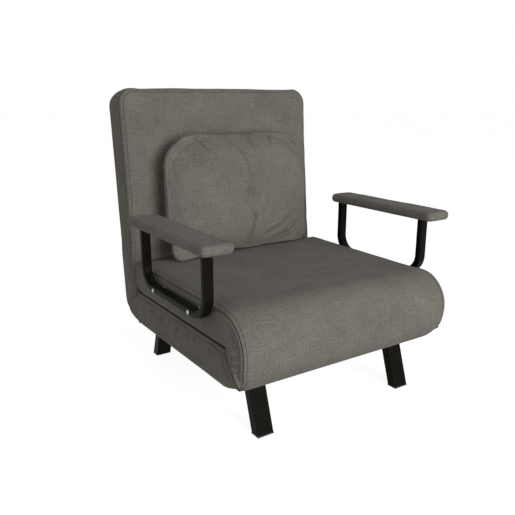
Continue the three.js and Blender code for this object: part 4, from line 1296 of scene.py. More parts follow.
@dataclass
class Strip:
    """An outline as a strip between two long lines."""

    inner: np.ndarray
    outer: np.ndarray
    start: np.ndarray  # from inner to outer at the first column
    end: np.ndarray  # from inner to outer at the last column

    def ring(self) -> np.ndarray:
        """The outline as a closed ring: inner, end, outer reversed, start reversed."""
        return np.concatenate([self.inner[:-1], self.end[:-1], self.outer[::-1][:-1], self.start[::-1][:-1]])

    def room(self) -> np.ndarray:
        """Works out how wide the strip is.

        Returns:
            Its width at each point of the ring.
        """
        across = np.linalg.norm(self.inner - self.outer, axis=1)
        rows = len(self.start) - 1
        return np.concatenate([across[:-1], np.full(rows, across[-1]), across[::-1][:-1], np.full(rows, across[0])])

    def split(self, ring: np.ndarray) -> list[np.ndarray]:
        """Takes a ring of the same layout apart again.

        Args:
            ring: one entry for each point of the ring.

        Returns:
            Inner, end, outer and start, as coons wants them.
        """
        n, m = len(self.inner) - 1, len(self.start) - 1
        closed = looped(ring)
        return [
            closed[: n + 1], closed[n : n + m + 1], closed[n + m : 2 * n + m + 1][::-1], closed[2 * n + m :][::-1]
        ]


def at_depth(x: np.ndarray, side: np.ndarray) -> np.ndarray:
    """Turns x and (depth, height) into points in the chair's frame."""
    return np.stack([x, side[..., 0] + NOSE_FRONT, side[..., 1]], -1)


@dataclass
class SweptCover:
    """A cover whose side panels have a strip's outline and whose wrap runs across the chair."""

    strip: Strip
    middle: Strip  # the side view away from the sides, laid out like strip
    half_width: float
    edge: SewnEdge
    puff: Callable[[np.ndarray], np.ndarray]  # how far the side panels swell, by (depth, height)
    sewn: np.ndarray  # per ring point, 0 where no seam runs
    plain: np.ndarray | float = 1.0  # per ring point, 0 where the edge isn't rounded
    crown: float = 0.0
    pitch: float = 0.010
    fade: float = 0.036  # how far in from each side the strip has become the middle one
    room_share: float = 0.42  # share of the strip's width that the edge may take on either side
    border: float = 12.0  # columns over which a side panel begins to swell
    panel_offset: float = 1.7  # where the side panels lie on the flat cloth

    def patchwork(self) -> tuple[Patchwork, dict[str, int]]:
        """Lays out the wrap and both side panels.

        Returns:
            The patchwork and its grids' numbers.
        """
        ring = self.strip.ring()
        ways = outward(ring)
        xs, rings, dark, stitched = self._rings(ring, ways)
        turned = winding(ring) > 0
        steps = steps_along(looped(ring))
        work = Patchwork()
        wrap = work.add(
            np.stack([at_depth(looped(x), looped(points)) for x, points in zip(xs, rings)]),
            np.stack([np.column_stack([steps, np.full(len(steps), run)]) for run in run_across(xs, rings)]),
            np.stack([looped(crease) for crease in dark]),
            flip=turned,
        )
        for row in np.flatnonzero(stitched):
            work.stitch(wrap, int(row))
        numbers = {"wrap": wrap}
        for name, index, flip in (("left", 0, turned), ("right", -1, not turned)):
            grid = coons(*self.strip.split(np.column_stack([rings[index], xs[index]])))
            side, x = grid[..., :2], grid[..., 2]
            rows, columns = x.shape
            u = np.minimum(np.arange(columns), np.arange(columns)[::-1])[None, :] / self.border
            v = np.minimum(np.arange(rows), np.arange(rows)[::-1])[:, None] / ((rows - 1) / 2)
            panel = at_depth(x + np.sign(x) * (smooth(u) * smooth(v) * self.puff(side)), side)
            numbers[name] = work.add(panel, side + [0.0, self.panel_offset], np.zeros((rows, columns)), flip=flip)
        return work, numbers

    def _rings(self, ring: np.ndarray, ways: np.ndarray) -> tuple[list, list, list, list]:
        """Lays rings of points across the chair, from the left panel to the right one.

        Args:
            ring: the outline of the side panels.
            ways: its outward directions.

        Returns:
            Lists of each ring's x, its points, its darkness, and whether it is topstitched.
        """
        deepest = self.edge.radius + self.edge.panel_margin
        shrink = np.minimum(1, self.room_share * self.strip.room() / deepest) * self.plain
        radius = np.full(len(ring), self.edge.radius)
        left = []
        for spot, lift, crease, stitch in self.edge.stations():
            along, inset = self.edge.profile(spot, lift * self.sewn, radius, shrink)
            left.append((-self.half_width + along, ring - ways * inset[:, None], crease * self.sewn, stitch))
        right = [(-x, points, crease, stitch) for x, points, crease, stitch in left[::-1]]
        flat = self.half_width - (self.edge.radius + self.edge.wrap_margin)
        places = np.linspace(-flat, flat, int(2 * flat / self.pitch) + 1)[1:-1]
        centre = [(np.full(len(ring), x), ring, 0 * self.sewn, False) for x in places]
        inward = self.middle.ring() - ring
        upward = np.clip(ways[:, 1], 0, 1) ** 2
        xs, rings, dark, stitched = [], [], [], []
        for x, points, crease, stitch in [*left, *centre, *right]:
            share = smooth((self.half_width - np.abs(x)) / self.fade)
            crown = self.crown * upward * (1 - (np.clip(x, -1, 1) / self.half_width) ** 2)
            xs.append(x)
            rings.append(points + inward * share[:, None] + np.column_stack([0 * upward, crown]))
            dark.append(crease)
            stitched.append(stitch)
        return xs, rings, dark, stitched


# Folds of side panels are in depth and height, and those of front panels in across and up.
NOSE_FOLDS = (
    Fold(((0.058, 0.223), (0.03, 0.2325), (0.0095, 0.241)), 0.0012, 0.005, 0.6, 0.25),
    Fold(((0.058, 0.2113), (0.03, 0.214), (0.009, 0.215)), 0.0012, 0.005, 0.6, 0.25),
    Fold(((0.052, 0.201), (0.034, 0.1995), (0.015, 0.196)), 0.001, 0.005, 0.6, 0.2),
    Fold(((0.062, 0.24), (0.036, 0.254), (0.016, 0.267)), 0.0008, 0.005, 0.6, 0.12),
    Fold(((0.042, 0.19), (0.03, 0.185), (0.02, 0.18)), 0.0008, 0.005, 0.6, 0.15),
    Fold(((0.074, 0.258), (0.052, 0.276), (0.036, 0.29)), 0.0008, 0.0055, 0.6, 0.1),
)


def mirrored(folds: Sequence[Fold]) -> list[Fold]:
    """Draws folds for the other side of the chair, a little shifted so that both sides differ.

    Args:
        folds: the folds of the left side.

    Returns:
        The folds of the right side.
    """
    return [
        Fold(
            tuple((d * 1.04 + 0.004, z - 0.002 * (i % 3)) for d, z in fold.path),
            fold.depth * 0.9,
            fold.width,
            fold.shoulder,
            fold.dark,
        )
        for i, fold in enumerate(folds)
    ]


def lay_side_folds(cloth: Cloth, folds: Sequence[Fold], half_width: float) -> None:
    """Presses folds into both side panels of a cloth.

    Args:
        cloth: the cloth to change.
        folds: the folds of the left side, in depth and height.
        half_width: where the side panels lie.
    """
    for side, drawn in ((-1, folds), (1, mirrored(folds))):
        flat, seen = side_view(cloth, side, half_width)
        lay_folds(cloth, drawn, flat, seen)


@dataclass
class SeatSection:
    """The seat, whose cloth runs on over the nose and down in front of the lower section."""

    mattress: Mattress
    rear_radius: float = 0.020
    small_radius: float = 0.006
    crown: float = 0.003
    rows: int = 16
    round_count: int = 26
    roll_count: int = 34
    joint_count: int = 3
    flap_count: int = 10
    flap_end: float = 257.0
    flap_lift: float = 0.0102  # how far the flap's inner face stands off, as a share of the nose
    knee: float = 0.085  # how far behind the front the underside's points begin to close up
    seam_depth: float = 0.0027
    seam_share: tuple[float, float, float] = (0.0, 0.30, 0.6)  # underside, inside the front, rear end
    side_share: float = 0.55  # how much less the filling moves the side panels
    voxel: float = 0.0085
    cap: float = 0.0045
    right_swell: tuple[float, float] = (0.0022, 0.0040)  # of the whole right side, and more at its nose

    def strip(self, at_side: bool) -> tuple[Strip, int]:
        """Lays out the side view of the seat with its hanging front, which tucks in below.

        Args:
            at_side: whether it is the outline of the side panels or the one inside.

        Returns:
            The strip, and the column at which the hanging front begins.
        """
        m = self.mattress
        if at_side:
            tip_angle, share, flap_end = m.side_tip, m.side_hang, m.side_tip + 0.9
        else:
            tip_angle, share, flap_end = m.nose_angle(m.lower_tip - m.divide_gap), 1.0, self.flap_end
        split_angle = 180 - math.degrees(math.asin((m.seat_bottom - m.nose_height) / m.nose_radius))
        under_seat = m.seat_bottom - (m.side_drop[0] if at_side else 0.0)
        low = np.array([m.seat_end - self.small_radius, m.seat_bottom])
        level = np.array([m.seat_end - 0.045, under_seat])
        high = np.array([m.seat_end - self.rear_radius, m.top])
        back_count = int((high[0] - m.nose_radius) / m.pitch)
        knee = np.array([m.lower_front - m.divide_gap + self.knee, under_seat])
        corner = np.array([m.lower_front - m.divide_gap, under_seat])
        divide = m.divide(m.divide_gap, CURVE_POINTS, at_side)[::-1]
        if at_side:
            under = [divide[-1] + np.array([0.0014, -0.0003]) * t for t in np.linspace(0, 1, 30)]
        else:
            centre = np.array([m.nose_radius, m.nose_height])
            under = []
            for angle in np.linspace(tip_angle, flap_end - 2.0, 40):
                lift = self.flap_lift * float(smooth(np.array((angle - tip_angle) / 5)))
                under.append(m.nose_point(angle) + (m.nose_point(angle) - centre) * lift)
        inner = chained(
            ([low, level, knee], back_count),
            ([knee, corner], self.round_count),
            ([corner, divide[0]], self.joint_count),
            (divide, self.roll_count - self.joint_count),
            (under, self.flap_count),
        )
        belly_end = tip_angle - 0.6
        outer = chained(
            ([high, [m.nose_radius, m.top]], back_count),
            ([m.nose_point(a) for a in np.linspace(90, split_angle, CURVE_POINTS)], self.round_count),
            (
                [m.belly_point(a, share) for a in np.linspace(split_angle, belly_end, 2 * CURVE_POINTS)],
                self.roll_count,
            ),
            ([m.belly_point(a, share) for a in np.linspace(belly_end, flap_end, CURVE_POINTS)], self.flap_count),
        )
        start = np.concatenate(
            [
                arc((low[0], low[1] + self.small_radius), self.small_radius, -90, 0, 6),
                arc((high[0], high[1] - self.rear_radius), self.rear_radius, 0, 90, 8),
            ]
        )
        gap = outer[-1] - inner[-1]
        turn = np.linspace(0, 1, 12)[:, None]
        swell = np.array([abs(gap[1]), 0.15 * gap[1]]) * 0.45
        end = inner[-1] + turn * gap + np.sin(np.pi * turn) * swell
        strip = Strip(inner, outer, resample(start, self.rows), resample(end, self.rows))
        return strip, back_count + self.round_count

    def cloth(self) -> tuple[Cloth, Callable[[Cloth], tuple[Cloth, Cloth]]]:
        """Lays out the whole cover.

        Returns:
            The joined cloth, and a function that parts it into the seat and its hanging front.
        """
        strip, split = self.strip(True)
        n, m = len(strip.inner) - 1, len(strip.start) - 1
        index = np.arange(len(strip.ring()))
        underside, inside, rear = self.seam_share
        sewn = np.where(index < split, underside, np.where(index < n, inside, 1.0))
        sewn = np.where(index > 2 * n + m, rear, sewn)
        cover = SweptCover(
            strip,
            self.strip(False)[0],
            self.mattress.half_width,
            SewnEdge(seam_depth=self.seam_depth),
            self.puff,
            sewn,
            crown=self.crown,
        )
        work, numbers = cover.patchwork()
        cloth = work.weld()
        back = n + m + (n - split)
        masks = []
        for name, number in numbers.items():
            rows, columns = work.grids[number][0].shape[:2]
            if name == "wrap":
                masks.append(np.tile((index >= split) & (index < back), rows - 1))
            else:
                masks.append(np.tile(np.arange(columns - 1) >= split, rows - 1))
        front_faces = np.concatenate(masks)
        wrap, left, right = (self._numbers(cloth, work.grids[number][0]) for number in numbers.values())
        border = (wrap[:, split], wrap[:, back], left[:, split], right[:, split])

        def part(whole: Cloth) -> tuple[Cloth, Cloth]:
            """Parts the cover at the seat's underside and closes both halves there.

            Args:
                whole: the cover.

            Returns:
                The seat and its hanging front.
            """
            return (
                self._closed(whole, ~front_faces, border, 0.0, True),
                self._closed(whole, front_faces, border, -0.0002, False),
            )

        return cloth, part

    @staticmethod
    def puff(side: np.ndarray) -> np.ndarray:
        """How far the side panels swell: fully at the nose, less beside the armrest tubes."""
        return 0.0022 + 0.0058 * smooth((0.120 - side[..., 0]) / 0.06)

    def shaped(self) -> tuple[Cloth, Cloth, list[np.ndarray]]:
        """Fills, creases and parts the cover.

        Returns:
            The seat, its hanging front, and the lines of topstitching.
        """
        cloth, part = self.cloth()
        m = self.mattress
        depth, height = cloth.points[:, 1] - NOSE_FRONT, cloth.points[:, 2]
        free = smooth((height - m.seat_bottom - 0.004) / 0.02) * smooth((m.seat_end - depth - 0.01) / 0.04)
        on_front = smooth((m.lower_front - 0.022 - depth) / 0.02) * smooth((height - 0.172) / 0.02)
        free = np.maximum(free, on_front)
        at_side = smooth((np.abs(cloth.points[:, 0]) - m.half_width + 0.012) / 0.008)
        free = free * (1 - self.side_share * at_side)
        cloth.points = cloth.points + Filling(self.voxel, self.cap, kept=(0, 1)).swell(cloth, free)
        cloth.push((0.0006 * ripple(cloth.points, 0.12, 3) + 0.00025 * ripple(cloth.points, 0.045, 4)) * free)
        lay_side_folds(cloth, NOSE_FOLDS, m.half_width)
        m.tucked(cloth)
        m.eased(cloth)
        m.shaded(cloth)
        right = smooth((cloth.points[:, 0] - 0.10) / 0.20)
        at_nose = smooth((0.105 - cloth.points[:, 1] + NOSE_FRONT) / 0.05)
        cloth.points[:, 0] += right * (self.right_swell[0] + self.right_swell[1] * at_nose)
        runs = [cloth.points[run] for run in cloth.runs]
        seat, front = part(cloth)
        return seat, front, runs

    @staticmethod
    def _numbers(cloth: Cloth, points: np.ndarray) -> np.ndarray:
        """Finds a grid's points in the joined cloth.

        Args:
            cloth: the joined cloth.
            points: the grid's points.

        Returns:
            Their numbers, in the grid's rows and columns.
        """
        table = {tuple(p): i for i, p in enumerate(np.round(cloth.points, 6) + 0.0)}
        flat = [table[tuple(p)] for p in np.round(points.reshape(-1, 3), 6) + 0.0]
        return np.array(flat).reshape(points.shape[:2])

    @staticmethod
    def _closed(whole: Cloth, keep: np.ndarray, border: tuple, drop: float, flip: bool) -> Cloth:
        """Closes one half of the cover with a sheet across the split.

        Args:
            whole: the cover of both halves.
            keep: the faces of this half.
            border: the lines that the sheet meets, as point numbers.
            drop: how far the sheet is set off in height.
            flip: whether the sheet faces down.

        Returns:
            The half as its own cloth.
        """
        inner, outer, left, right = border
        t = np.linspace(0, 1, len(left))[None, :, None]
        grid = (1 - t) * whole.points[inner][:, None] + t * whole.points[outer][:, None]
        grid[0], grid[-1] = whole.points[left], whole.points[right]
        grid[1:-1, 1:-1] += [0, 0, drop]
        work = Patchwork()
        work.add(grid, grid[..., :2] + [3.0, 0.0], np.zeros(grid.shape[:2]), flip=flip)
        half, sheet = whole.part(keep), work.weld()
        points, crease, inverse = merged(
            np.concatenate([half.points, sheet.points]), np.concatenate([half.crease, sheet.crease])
        )
        quads = np.concatenate([half.quads, sheet.quads + len(half.points)])
        return Cloth(points, inverse[quads], np.concatenate([half.pattern, sheet.pattern]), crease, [])


LOWER_FOLDS = (
    Fold(((0.412, 0.218), (0.416, 0.205), (0.419, 0.19)), 0.003, 0.0048, 0.7, 0.35),
    Fold(((0.318, 0.218), (0.322, 0.202), (0.329, 0.18)), 0.003, 0.005, 0.7, 0.35),
    Fold(((0.266, 0.218), (0.261, 0.208), (0.256, 0.194)), 0.0028, 0.0048, 0.7, 0.35),
    Fold(((0.472, 0.218), (0.47, 0.198)), 0.0018, 0.0048, 0.7, 0.2),
    Fold(((0.366, 0.218), (0.364, 0.207), (0.36, 0.198)), 0.002, 0.0048, 0.7, 0.2),
    Fold(((0.218, 0.218), (0.22, 0.202)), 0.0016, 0.0048, 0.7, 0.2),
    Fold(((0.15, 0.218), (0.145, 0.205), (0.142, 0.192)), 0.0018, 0.0048, 0.7, 0.2),
    Fold(((0.53, 0.218), (0.524, 0.202), (0.522, 0.185)), 0.0014, 0.0055, 0.7, 0.1),
    Fold(((0.1, 0.17), (0.19, 0.161), (0.3, 0.166)), 0.0012, 0.009),
    Fold(((0.34, 0.162), (0.43, 0.17), (0.5, 0.16)), 0.0012, 0.009),
)


@dataclass
class LowerSection:
    """The lower section, which the seat lies on."""

    mattress: Mattress
    rows: int = 18
    front_count: int = 31
    side_bottom: float = 0.1395
    rear_low: float = 0.5796  # depth of the rear's lower corner
    rear_bend: float = 0.5585  # depth that the hollow rear bends towards
    tip_turn: float = 2.2  # degrees of the nose's circle that the blunt tip takes up
    voxel: float = 0.0085
    cap: float = 0.0030
    settled: float = 0.4  # share of the filling's move that is kept in the side view

    def strip(self, at_side: bool) -> Strip:
        """Lays out its side view, from the tip under the nose to the end at the back.

        Args:
            at_side: whether it is the outline of the side panels or the one inside.

        Returns:
            The strip.
        """
        m = self.mattress
        divide = m.divide(0.0, CURVE_POINTS, at_side)
        long = int((m.lower_rear - m.lower_front) / m.pitch)
        if at_side:
            bottom = self.side_bottom
            blunt = divide[0] + [0.0010, -0.0006]
            under = np.array([blunt, [0.030, 0.1560], [0.050, 0.1472], [0.070, 0.1418], [0.088, bottom]])
            start = np.linspace(blunt, divide[0], 9)
        else:
            bottom = m.bottom
            tip_angle = m.nose_angle(m.lower_tip)
            blunt = tip_angle + self.tip_turn
            under = np.array([m.nose_point(a) for a in np.linspace(blunt, 270, 50)])
            start = np.array([m.nose_point(a) for a in np.linspace(blunt, tip_angle, 8)])
        rear_low = np.array([self.rear_low, bottom])
        upper = m.lower_top - (m.side_drop[1] if at_side else 0.0)
        rear_high = np.array([m.lower_rear, upper])
        inner = chained((under, self.front_count), ([[m.nose_radius, bottom], rear_low], long))
        outer = chained((divide, self.front_count), ([[m.lower_front, upper], rear_high], long))
        end = bezier(rear_low, np.array([self.rear_bend, (bottom + upper) / 2]), rear_high, 20)
        return Strip(inner, outer, resample(start, self.rows), resample(end, self.rows))

    @staticmethod
    def puff(side: np.ndarray) -> np.ndarray:
        """How far the side panels swell: less at the tip and where the gusset takes over."""
        return 0.0055 * smooth((side[..., 0] - 0.02) / 0.10) * smooth((0.575 - side[..., 0]) / 0.05)

    def cloth(self) -> Cloth:
        """Lays out the cover, fills it and creases it.

        Returns:
            The cover's cloth.
        """
        m = self.mattress
        strip = self.strip(True)
        n, rows = len(strip.inner) - 1, len(strip.start) - 1
        index = np.arange(len(strip.ring()))
        distance = np.minimum(np.abs(index - n), np.abs(index - (n + rows)))
        distance = np.where((index >= n) & (index <= n + rows), 0, distance)
        plain = 0.02 + 0.98 * smooth(distance / 4)
        outer_column = 2 * n + rows - index
        sewn = np.where((index >= n + rows) & (outer_column > self.front_count), 1.0, 0.0)
        sewn = sewn * smooth((outer_column - self.front_count) / 6)
        edge = SewnEdge(
            radius=0.005,
            seam_turn=-82,
            stitch_gap=None,
            seam_depth=0.0019,
            seam_width=0.0018,
            panel_margin=0.011,
            seam_dark=0.7,
        )
        cover = SweptCover(strip, self.strip(False), m.half_width, edge, self.puff, sewn, plain)
        cloth = cover.patchwork()[0].weld()
        depth, height = cloth.points[:, 1] - NOSE_FRONT, cloth.points[:, 2]
        seen = smooth((np.abs(cloth.points[:, 0]) - m.half_width + 0.010) / 0.006)
        free = seen * smooth((height - 0.146) / 0.012) * smooth((m.lower_top - 0.004 - height) / 0.02)
        free = free * smooth((depth - 0.06) / 0.06) * smooth((0.545 - depth) / 0.03)
        moved = Filling(self.voxel, self.cap, kept=(0, 1)).swell(cloth, free)
        moved[:, 1:] *= self.settled
        cloth.points = cloth.points + moved
        cloth.push((0.0006 * ripple(cloth.points, 0.11, 13) + 0.0003 * ripple(cloth.points, 0.045, 14)) * free)
        lay_side_folds(cloth, LOWER_FOLDS, m.half_width)
        m.tucked(cloth)
        m.shaded(cloth)
        return cloth


@dataclass
class CornerGusset:
    """The side cloth that runs on from the lower section around the back's lower corner."""

    side: int
    mattress: Mattress
    low: tuple[tuple[float, float], ...] = (
        (0.540, 0.1402), (0.575, 0.1402), (0.602, 0.1430), (0.630, 0.1520), (0.649, 0.1665)
    )
    high: tuple[tuple[float, float], ...] = (
        (0.540, 0.2310), (0.556, 0.2308), (0.570, 0.2280), (0.603, 0.2090), (0.636, 0.1860), (0.650, 0.1745)
    )
    hidden: float = 0.0035  # how deep its borders lie
    belly: float = 0.0012

    def cloth(self) -> Cloth:
        """Lays out its outer face and its inner face, joined along the border.

        Returns:
            The gusset's cloth.
        """
        low, high = resample(np.array(self.low), 40), resample(np.array(self.high), 40)
        left, right = (resample(np.array([low[k], high[k]]), 26) for k in (0, -1))
        grid = coons(low, right, high, left)
        rows, columns = grid.shape[:2]
        up = np.broadcast_to(np.arange(rows)[:, None] / (rows - 1), (rows, columns))
        along = np.broadcast_to(np.arange(columns)[None, :] / (columns - 1), (rows, columns))
        rise = smooth(along / 0.30) * smooth(up / 0.07) * smooth((1 - up) / 0.05) * smooth((1 - along) / 0.06)
        belly = np.sin(np.pi * up) * np.sin(np.pi * along) * self.belly
        outer = self.mattress.half_width - self.hidden + (self.hidden + 0.0001) * rise + belly
        inner = np.full((rows, columns), self.mattress.half_width - self.hidden)
        work = Patchwork()
        # painted shade along the gusset's top border
        dark = 0.55 * smooth(1 - np.abs(up - 0.975) / 0.03) * smooth((along - 0.12) / 0.1)
        for x, flip in ((outer, self.side > 0), (inner, self.side < 0)):
            work.add(at_depth(self.side * x, grid), grid + [0.0, 1.7], dark, flip=flip)
        return work.weld()

    def recess(self, points: np.ndarray, amount: float) -> np.ndarray:
        """How far the back's side cloth is held in under the gusset.

        Args:
            points: the back's points.
            amount: the depth of the recess.

        Returns:
            The change in x at each point.
        """
        depth, height = points[:, 1] - NOSE_FRONT, points[:, 2]
        line = np.array(self.high)
        top = np.interp(depth, line[:, 0], line[:, 1])
        held = smooth((top + 0.004 - height) / 0.007) * smooth((0.660 - depth) / 0.008)
        held = held * smooth((self.side * points[:, 0] - self.mattress.half_width + 0.016) / 0.008)
        return -self.side * amount * held


@dataclass(frozen=True)
class RadiusBlend:
    """An edge's radius that differs at the foot, at the sides and at the top of an outline."""

    foot: float
    side: float
    top: float

    def __call__(self, ring: np.ndarray) -> np.ndarray:
        """Reads the radius.

        Args:
            ring: the outline.

        Returns:
            The radius at each of its points.
        """
        ways = outward(ring)
        down, rise = np.clip(-ways[:, 1], 0, 1) ** 2, np.clip(ways[:, 1], 0, 1) ** 2
        return self.side + (self.foot - self.side) * down + (self.top - self.side) * rise


@dataclass
class Plate:
    """A cover with a front and a rear panel of the same outline and a boxing strip between them."""

    width: float
    height: float
    corners: tuple[float, float, float, float]  # radii: low left, low right, high right, high left
    thickness: float
    front: SewnEdge
    rear: SewnEdge
    front_radius: RadiusBlend | None = None
    rear_radius: RadiusBlend | None = None
    pitch: float = 0.0050
    bulge: float = 0.0  # how far the boxing swells in its middle
    corner_count: int = 8
    boxing_offset: float = 2.3  # where the boxing lies on the flat cloth

    def outline(self) -> Strip:
        """Draws the outline.

        Returns:
            Its bottom, top, left and right, each from corner middle to corner middle.
        """
        w, h, k = self.width / 2, self.height, self.corner_count
        a, b, c, d = self.corners
        across, up = int(self.width / self.pitch), int(self.height / self.pitch)
        bottom = np.concatenate([arc((-w + a, a), a, 225, 270, k), arc((w - b, b), b, 270, 315, k)])
        right = np.concatenate([arc((w - b, b), b, 315, 360, k), arc((w - c, h - c), c, 0, 45, k)])
        top = np.concatenate([arc((-w + d, h - d), d, 135, 90, k), arc((w - c, h - c), c, 90, 45, k)])
        left = np.concatenate([arc((-w + a, a), a, 225, 180, k), arc((-w + d, h - d), d, 180, 135, k)])
        return Strip(resample(bottom, across), resample(top, across), resample(left, up), resample(right, up))

    def patchwork(self, place: Callable[[np.ndarray, np.ndarray, np.ndarray], np.ndarray]) -> Patchwork:
        """Lays out both panels and the boxing.

        Args:
            place: turns across, out and up arrays into points.

        Returns:
            The patchwork.
        """
        outline = self.outline()
        ring = outline.ring()
        ways = outward(ring)
        rings = self._over(self.front, self.front_radius, ring, ways)
        back = [
            (self.thickness - out, flat, crease, stitch)
            for out, flat, crease, stitch in self._over(self.rear, self.rear_radius, ring, ways)
        ]
        first, last = rings[-1][0], back[-1][0]
        count = max(1, int(float(np.median(last - first)) / self.pitch))
        for k in range(1, count):
            flat = ring + ways * self.bulge * math.sin(math.pi * k / count)
            rings.append((first + (last - first) * k / count, flat, 0.0, False))
        rings += back[::-1]
        steps = steps_along(looped(ring))
        stack, pattern, dark = [], [], []
        for (out, flat, crease, _), run in zip(rings, run_across([r[0] for r in rings], [r[1] for r in rings])):
            flat = looped(flat)
            stack.append(place(flat[:, 0], looped(out), flat[:, 1]))
            pattern.append(np.column_stack([steps, np.full(len(steps), run + self.boxing_offset)]))
            dark.append(np.full(len(steps), crease))
        work = Patchwork()
        boxing = work.add(np.stack(stack), np.stack(pattern), np.stack(dark))
        for row, (_, _, _, stitch) in enumerate(rings):
            if stitch:
                work.stitch(boxing, row)
        for (out, flat, _, _), flip in ((rings[0], False), (rings[-1], True)):
            grid = coons(*outline.split(np.column_stack([flat, out])))
            rows, columns = grid.shape[:2]
            spread = grid.reshape(-1, 3)
            points = place(spread[:, 0], spread[:, 2], spread[:, 1]).reshape(rows, columns, 3)
            work.add(points, grid[..., :2], np.zeros((rows, columns)), flip=flip)
        return work

    @staticmethod
    def _over(edge: SewnEdge, blend: RadiusBlend | None, ring: np.ndarray, ways: np.ndarray) -> list[tuple]:
        """Lays rings of points over one rounded edge.

        Args:
            edge: the edge.
            blend: its radius along the outline, or None where it is the same all around.
            ring: the outline.
            ways: its outward directions.

        Returns:
            From the panel to the boxing, each ring's places out, its points in the outline's plane,
            its darkness, and whether it is topstitched.
        """
        radius = np.full(len(ring), edge.radius) if blend is None else blend(ring)
        rings = []
        for spot, lift, crease, stitch in edge.stations():
            along, inset = edge.profile(spot, lift, radius)
            rings.append((along, ring - ways * inset[:, None], crease, stitch))
        return rings


BACK_FOLDS = (
    Fold(((-0.15, 0.625), (-0.09, 0.642), (-0.03, 0.648)), 0.0012, 0.007, 0.7),
    Fold(((0.06, 0.635), (0.14, 0.646)), 0.0008, 0.008, 0.5),
    Fold(((0.25, 0.44), (0.29, 0.47), (0.31, 0.51)), 0.0009, 0.007, 0.5),
    Fold(((0.262, 0.3), (0.3, 0.282)), 0.0009, 0.005, 0.5),
    Fold(((-0.31, 0.54), (-0.27, 0.515), (-0.24, 0.505)), 0.001, 0.006, 0.6),
    Fold(((-0.31, 0.36), (-0.28, 0.35)), 0.0009, 0.005, 0.6),
)
BACK_SIDE_FOLDS = (
    Fold(((0.61, 0.33), (0.64, 0.35), (0.665, 0.36)), 0.0008, 0.0045, 0.4, 0.1),
    Fold(((0.625, 0.43), (0.65, 0.438)), 0.0007, 0.0045, 0.4, 0.1),
    Fold(((0.64, 0.545), (0.668, 0.56), (0.69, 0.566)), 0.0008, 0.0045, 0.4, 0.1),
    Fold(((0.655, 0.66), (0.69, 0.668)), 0.0007, 0.0045, 0.4, 0.1),
    Fold(((0.6, 0.245), (0.63, 0.262), (0.65, 0.29)), 0.0009, 0.005, 0.4, 0.1),
)


